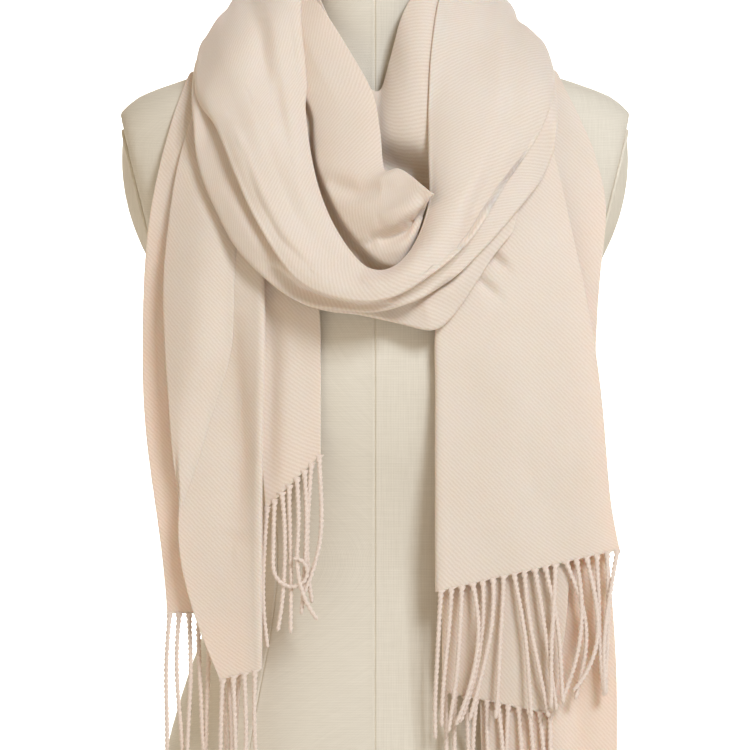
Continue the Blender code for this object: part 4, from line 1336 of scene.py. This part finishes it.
Tail = namedtuple("Tail", "name rows creases fringed lengthwise steps near_edge far_edge")
TAILS = [
    Tail("right_tail_back", RIGHT_TAIL_BACK, (), True, 24, 5, "cut", "cut"),
    Tail("right_tail_middle", RIGHT_TAIL_MIDDLE, (), True, 5, 5, "cut", "cut"),
    Tail("right_tail_front", RIGHT_TAIL_FRONT, FRONT_CREASES, True, 12, 7, "folded", "cut"),
    Tail("left_tail_back", LEFT_TAIL_BACK, (), True, 22, 4, "cut", "cut"),
    Tail("left_tail_inner", LEFT_TAIL_INNER, (), True, 6, 4, "cut", "cut"),
    Tail("left_tail_front", LEFT_TAIL_FRONT, (), True, 12, 5, "cut", "folded"),
    Tail("left_tail_flap", LEFT_TAIL_FLAP, (), False, 10, 3, "cut", "cut"),
]


def twill_material(context):
    found = bpy.data.materials.get("Brushed twill")
    return found or brushed_twill(context.scene.scarf_cloth)


class SCARF_OT_hanging_ends(bpy.types.Operator):
    """Lays the hanging ends over the form, from the inside out"""
    bl_idname = "scarf.hanging_ends"
    bl_label = "Hanging ends"

    def execute(self, context):
        cloth = twill_material(context)
        for tail in TAILS:
            stretch = Stretch(tail.rows, creases=tail.creases)
            grid, outward = shape_cloth(tail.name, stretch, tail.lengthwise, tail.steps, tail.near_edge,
                                        tail.far_edge)
            item, flat = finish_cloth(tail.name, grid, False, 1, cloth)
            laid.add(item)
            if not tail.fringed:
                continue
            across = place_on_cloth(grid, False)[0][0]
            near, far = ((TUCK + math.pi * FOLD_RADIUS if edge == "folded" else 0)
                         for edge in (tail.near_edge, tail.far_edge))
            shown = (across >= across[0] + near - 0.01) & (across <= across[-1] - far + 0.01)
            hems[tail.name] = {
                "item": item, "hem": grid[0][shown], "outward": outward[0][shown], "flat": flat}
        return {"FINISHED"}


class SCARF_OT_fringes(bpy.types.Operator):
    """Hangs the twisted strands from the hems"""
    bl_idname = "scarf.fringes"
    bl_label = "Fringes"

    def execute(self, context):
        if not hems:
            raise RuntimeError("build the hanging ends first")
        settings = context.scene.scarf_cloth
        yarn = twisted_yarn(settings)
        for seed, (name, hem) in enumerate(hems.items()):
            fringe = make_fringe(name, seed, yarn, settings.strand_pitch / MM, settings.strand_width / MM,
                                 settings.strand_length / MM)
        return {"FINISHED"}


# The tongue's tip, seen from the front: to the right of here, and above a sloping line through a point.
TIP_FROM = 20
TIP_LINE_X = 22.5
TIP_LINE_Z = 563
TIP_LINE_SLOPE = 0.8


def in_tongue_tip(grid):
    """Which points of the flap belong to the tip that lies over the rim of the cowl."""
    place = seen_from_front(grid)
    x, z = place[..., 0], place[..., 1]
    return (x > TIP_FROM) & (z > TIP_LINE_Z + TIP_LINE_SLOPE * (x - TIP_LINE_X))


class SCARF_OT_turns(bpy.types.Operator):
    """Winds the cowl and its folds round the neck, from the inside out"""
    bl_idname = "scarf.turns"
    bl_label = "Turns round the neck"

    def execute(self, context):
        cloth = twill_material(context)
        outer = Stretch(WRAP_OUTER, closed=True, creases=OUTER_CREASES)
        rows = np.arange(len(WRAP_UNDER))
        lower = Stretch(under(outer, rows, WRAP_UNDER), closed=True)
        rows = LOWEST_FROM + LOWEST_STEP * np.arange(len(WRAP_LOWEST))
        lowest = Stretch(under(lower, rows, WRAP_LOWEST))
        inner = Stretch(WRAP_INNER, closed=True)
        flap = Stretch(WRAP_FLAP)
        shapes = {}
        for name, stretch, lengthwise, steps, near_edge, far_edge, below in (
            ("wrap_inner", inner, 40, 4, "cut", "cut", "form_torso"),
            ("wrap_flap", flap, 30, 7, "cut", "stepped", "wrap_inner"),
            ("wrap_lowest", lowest, 16, 3, "cut", "folded", "right_tail_front"),
            ("wrap_under", lower, 72, 3, "cut", "folded", "wrap_lowest"),
            ("wrap_outer", outer, 68, 7, "folded", "folded", "wrap_under"),
        ):
            grid, outward = shape_cloth(name, stretch, lengthwise, steps, near_edge, far_edge)
            if name == "wrap_flap":
                tip = in_tongue_tip(grid)
                laid.add_grid(grid, outward, ~tip)
                shapes[name] = grid, outward, tip, below
                continue
            item, flat = finish_cloth(name, grid, stretch.closed, -1, cloth)
            laid.add(item)
        for name, (grid, outward, tip, below) in shapes.items():
            forwards = np.zeros_like(outward) + [0, -1, 0]
            lift = np.where(tip, np.maximum(lift_off(laid, grid, forwards), 0), 0)
            grid = grid + forwards * smooth_lift(lift, False)[..., None]
            item, flat = finish_cloth(name, grid, False, -1, cloth)
        return {"FINISHED"}


class SCARF_OT_stage(bpy.types.Operator):
    """Sets the pale floor and backdrop, the soft lights and the camera"""
    bl_idname = "scarf.stage"
    bl_label = "Stage"

    def execute(self, context):
        settings = context.scene.scarf_stage
        make_backdrop(matt_paper(settings))
        make_lights(settings)
        make_camera()
        return {"FINISHED"}


# The paper reaches this far to the sides and to the front, curves up from here behind the object, beyond
# where a camera for another view would stand, and ends at this height.
PAPER_REACH = 8000.0
PAPER_CURVE_FROM = 4400.0
PAPER_CURVE_RADIUS = 800.0
PAPER_CURVE_STEPS = 16
PAPER_TOP = 5200.0


def make_backdrop(paper):
    """A sheet of paper that runs over the floor and up behind in one curve."""
    turns = [math.pi / 2 * k / PAPER_CURVE_STEPS for k in range(PAPER_CURVE_STEPS + 1)]
    run = [(-PAPER_REACH, 0.0)]
    run += [(PAPER_CURVE_FROM + PAPER_CURVE_RADIUS * math.sin(a), PAPER_CURVE_RADIUS * (1 - math.cos(a)))
            for a in turns]
    run += [(PAPER_CURVE_FROM + PAPER_CURVE_RADIUS, PAPER_TOP)]
    points = [(x, y, z) for y, z in run for x in (-PAPER_REACH, PAPER_REACH)]
    faces = [(k, k + 1, k + 3, k + 2) for k in range(0, len(points) - 2, 2)]
    places = [(0, 0)] * (4 * len(faces))
    item = make_mesh_object("studio_paper", points, faces, places, paper)


# Each square lamp: the setting that gives its power, its width, its place, what it points at, its colour.
Lamp = namedtuple("Lamp", "name power size place target colour")
LAMPS = (
    Lamp("key", "key_power", 1.2, (1.7, -3.1, 3.0), (0, 0, 0.5), "#DCE9FF"),
    Lamp("fill", "fill_power", 2.2, (-2.4, -2.4, 1.2), (0, 0, 0.45), "#FFF1DF"),
    Lamp("back", "back_power", 2.0, (-1.2, 3.4, 2.2), (0, 0, 0.5), "#FFF6EA"),
    Lamp("paper_left", "paper_power", 1.6, (-2.2, 3.7, 2.4), (-0.4, 5.2, 0.8), "#FFFFFF"),
    Lamp("paper_right", "paper_power", 1.6, (2.2, 3.7, 2.4), (0.4, 5.2, 0.8), "#FFFFFF"),
)


def make_lights(settings):
    for lamp in LAMPS:
        light = bpy.data.lights.new(lamp.name, "AREA")
        light.energy = getattr(settings, lamp.power)
        light.shape = "SQUARE"
        light.size = lamp.size
        light.color = linear(lamp.colour)
        item = bpy.data.objects.new(lamp.name, light)
        item.location = lamp.place
        towards = Vector(lamp.target) - Vector(lamp.place)
        item.rotation_euler = towards.to_track_quat("-Z", "Y").to_euler()
        bpy.context.scene.collection.objects.link(item)
    bpy.context.scene.view_settings.view_transform = "Standard"
    world = bpy.context.scene.world or bpy.data.worlds.new("Studio")
    bpy.context.scene.world = world
    world.use_nodes = True
    sky = world.node_tree.nodes["Background"].inputs
    sky["Color"].default_value = rgba(linear("#FFF0DE"))
    sky["Strength"].default_value = settings.sky_strength


def make_camera():
    camera = bpy.data.cameras.new("camera")
    camera.sensor_width = 36.0
    camera.lens = camera.sensor_width * CAMERA_DISTANCE / FRAME_WIDTH
    item = bpy.data.objects.new("camera", camera)
    item.location = (0, (PICTURE_PLANE - CAMERA_DISTANCE) * MM, CAMERA_HEIGHT * MM)
    item.rotation_euler = (math.pi / 2, 0, 0)
    bpy.context.scene.collection.objects.link(item)
    bpy.context.scene.camera = item


class SCARF_PT_panel(bpy.types.Panel):
    """The steps of the scarf and its settings"""
    bl_idname = "SCARF_PT_panel"
    bl_label = "Scarf"
    bl_space_type = "VIEW_3D"
    bl_region_type = "UI"
    bl_category = "Scarf"

    def draw(self, context):
        for operator in OPERATORS:
            self.layout.operator(operator.bl_idname)
        for name in ("scarf_cloth", "scarf_form", "scarf_stage"):
            settings = getattr(context.scene, name)
            for key in settings.__annotations__:
                self.layout.prop(settings, key)


SETTINGS = {"scarf_cloth": ScarfSettings, "scarf_form": FormSettings, "scarf_stage": StageSettings}
OPERATORS = (SCARF_OT_dress_form, SCARF_OT_hanging_ends, SCARF_OT_fringes, SCARF_OT_turns, SCARF_OT_stage)


def register():
    for name, group in SETTINGS.items():
        bpy.utils.register_class(group)
        setattr(bpy.types.Scene, name, PointerProperty(type=group))
    for operator in OPERATORS:
        bpy.utils.register_class(operator)
    bpy.utils.register_class(SCARF_PT_panel)


def unregister():
    bpy.utils.unregister_class(SCARF_PT_panel)
    for operator in reversed(OPERATORS):
        bpy.utils.unregister_class(operator)
    for name, group in SETTINGS.items():
        delattr(bpy.types.Scene, name)
        bpy.utils.unregister_class(group)


def main():
    register()
    for operator in OPERATORS:
        group, step = operator.bl_idname.split(".")
        getattr(getattr(bpy.ops, group), step)()


if __name__ == "__main__":
    main()
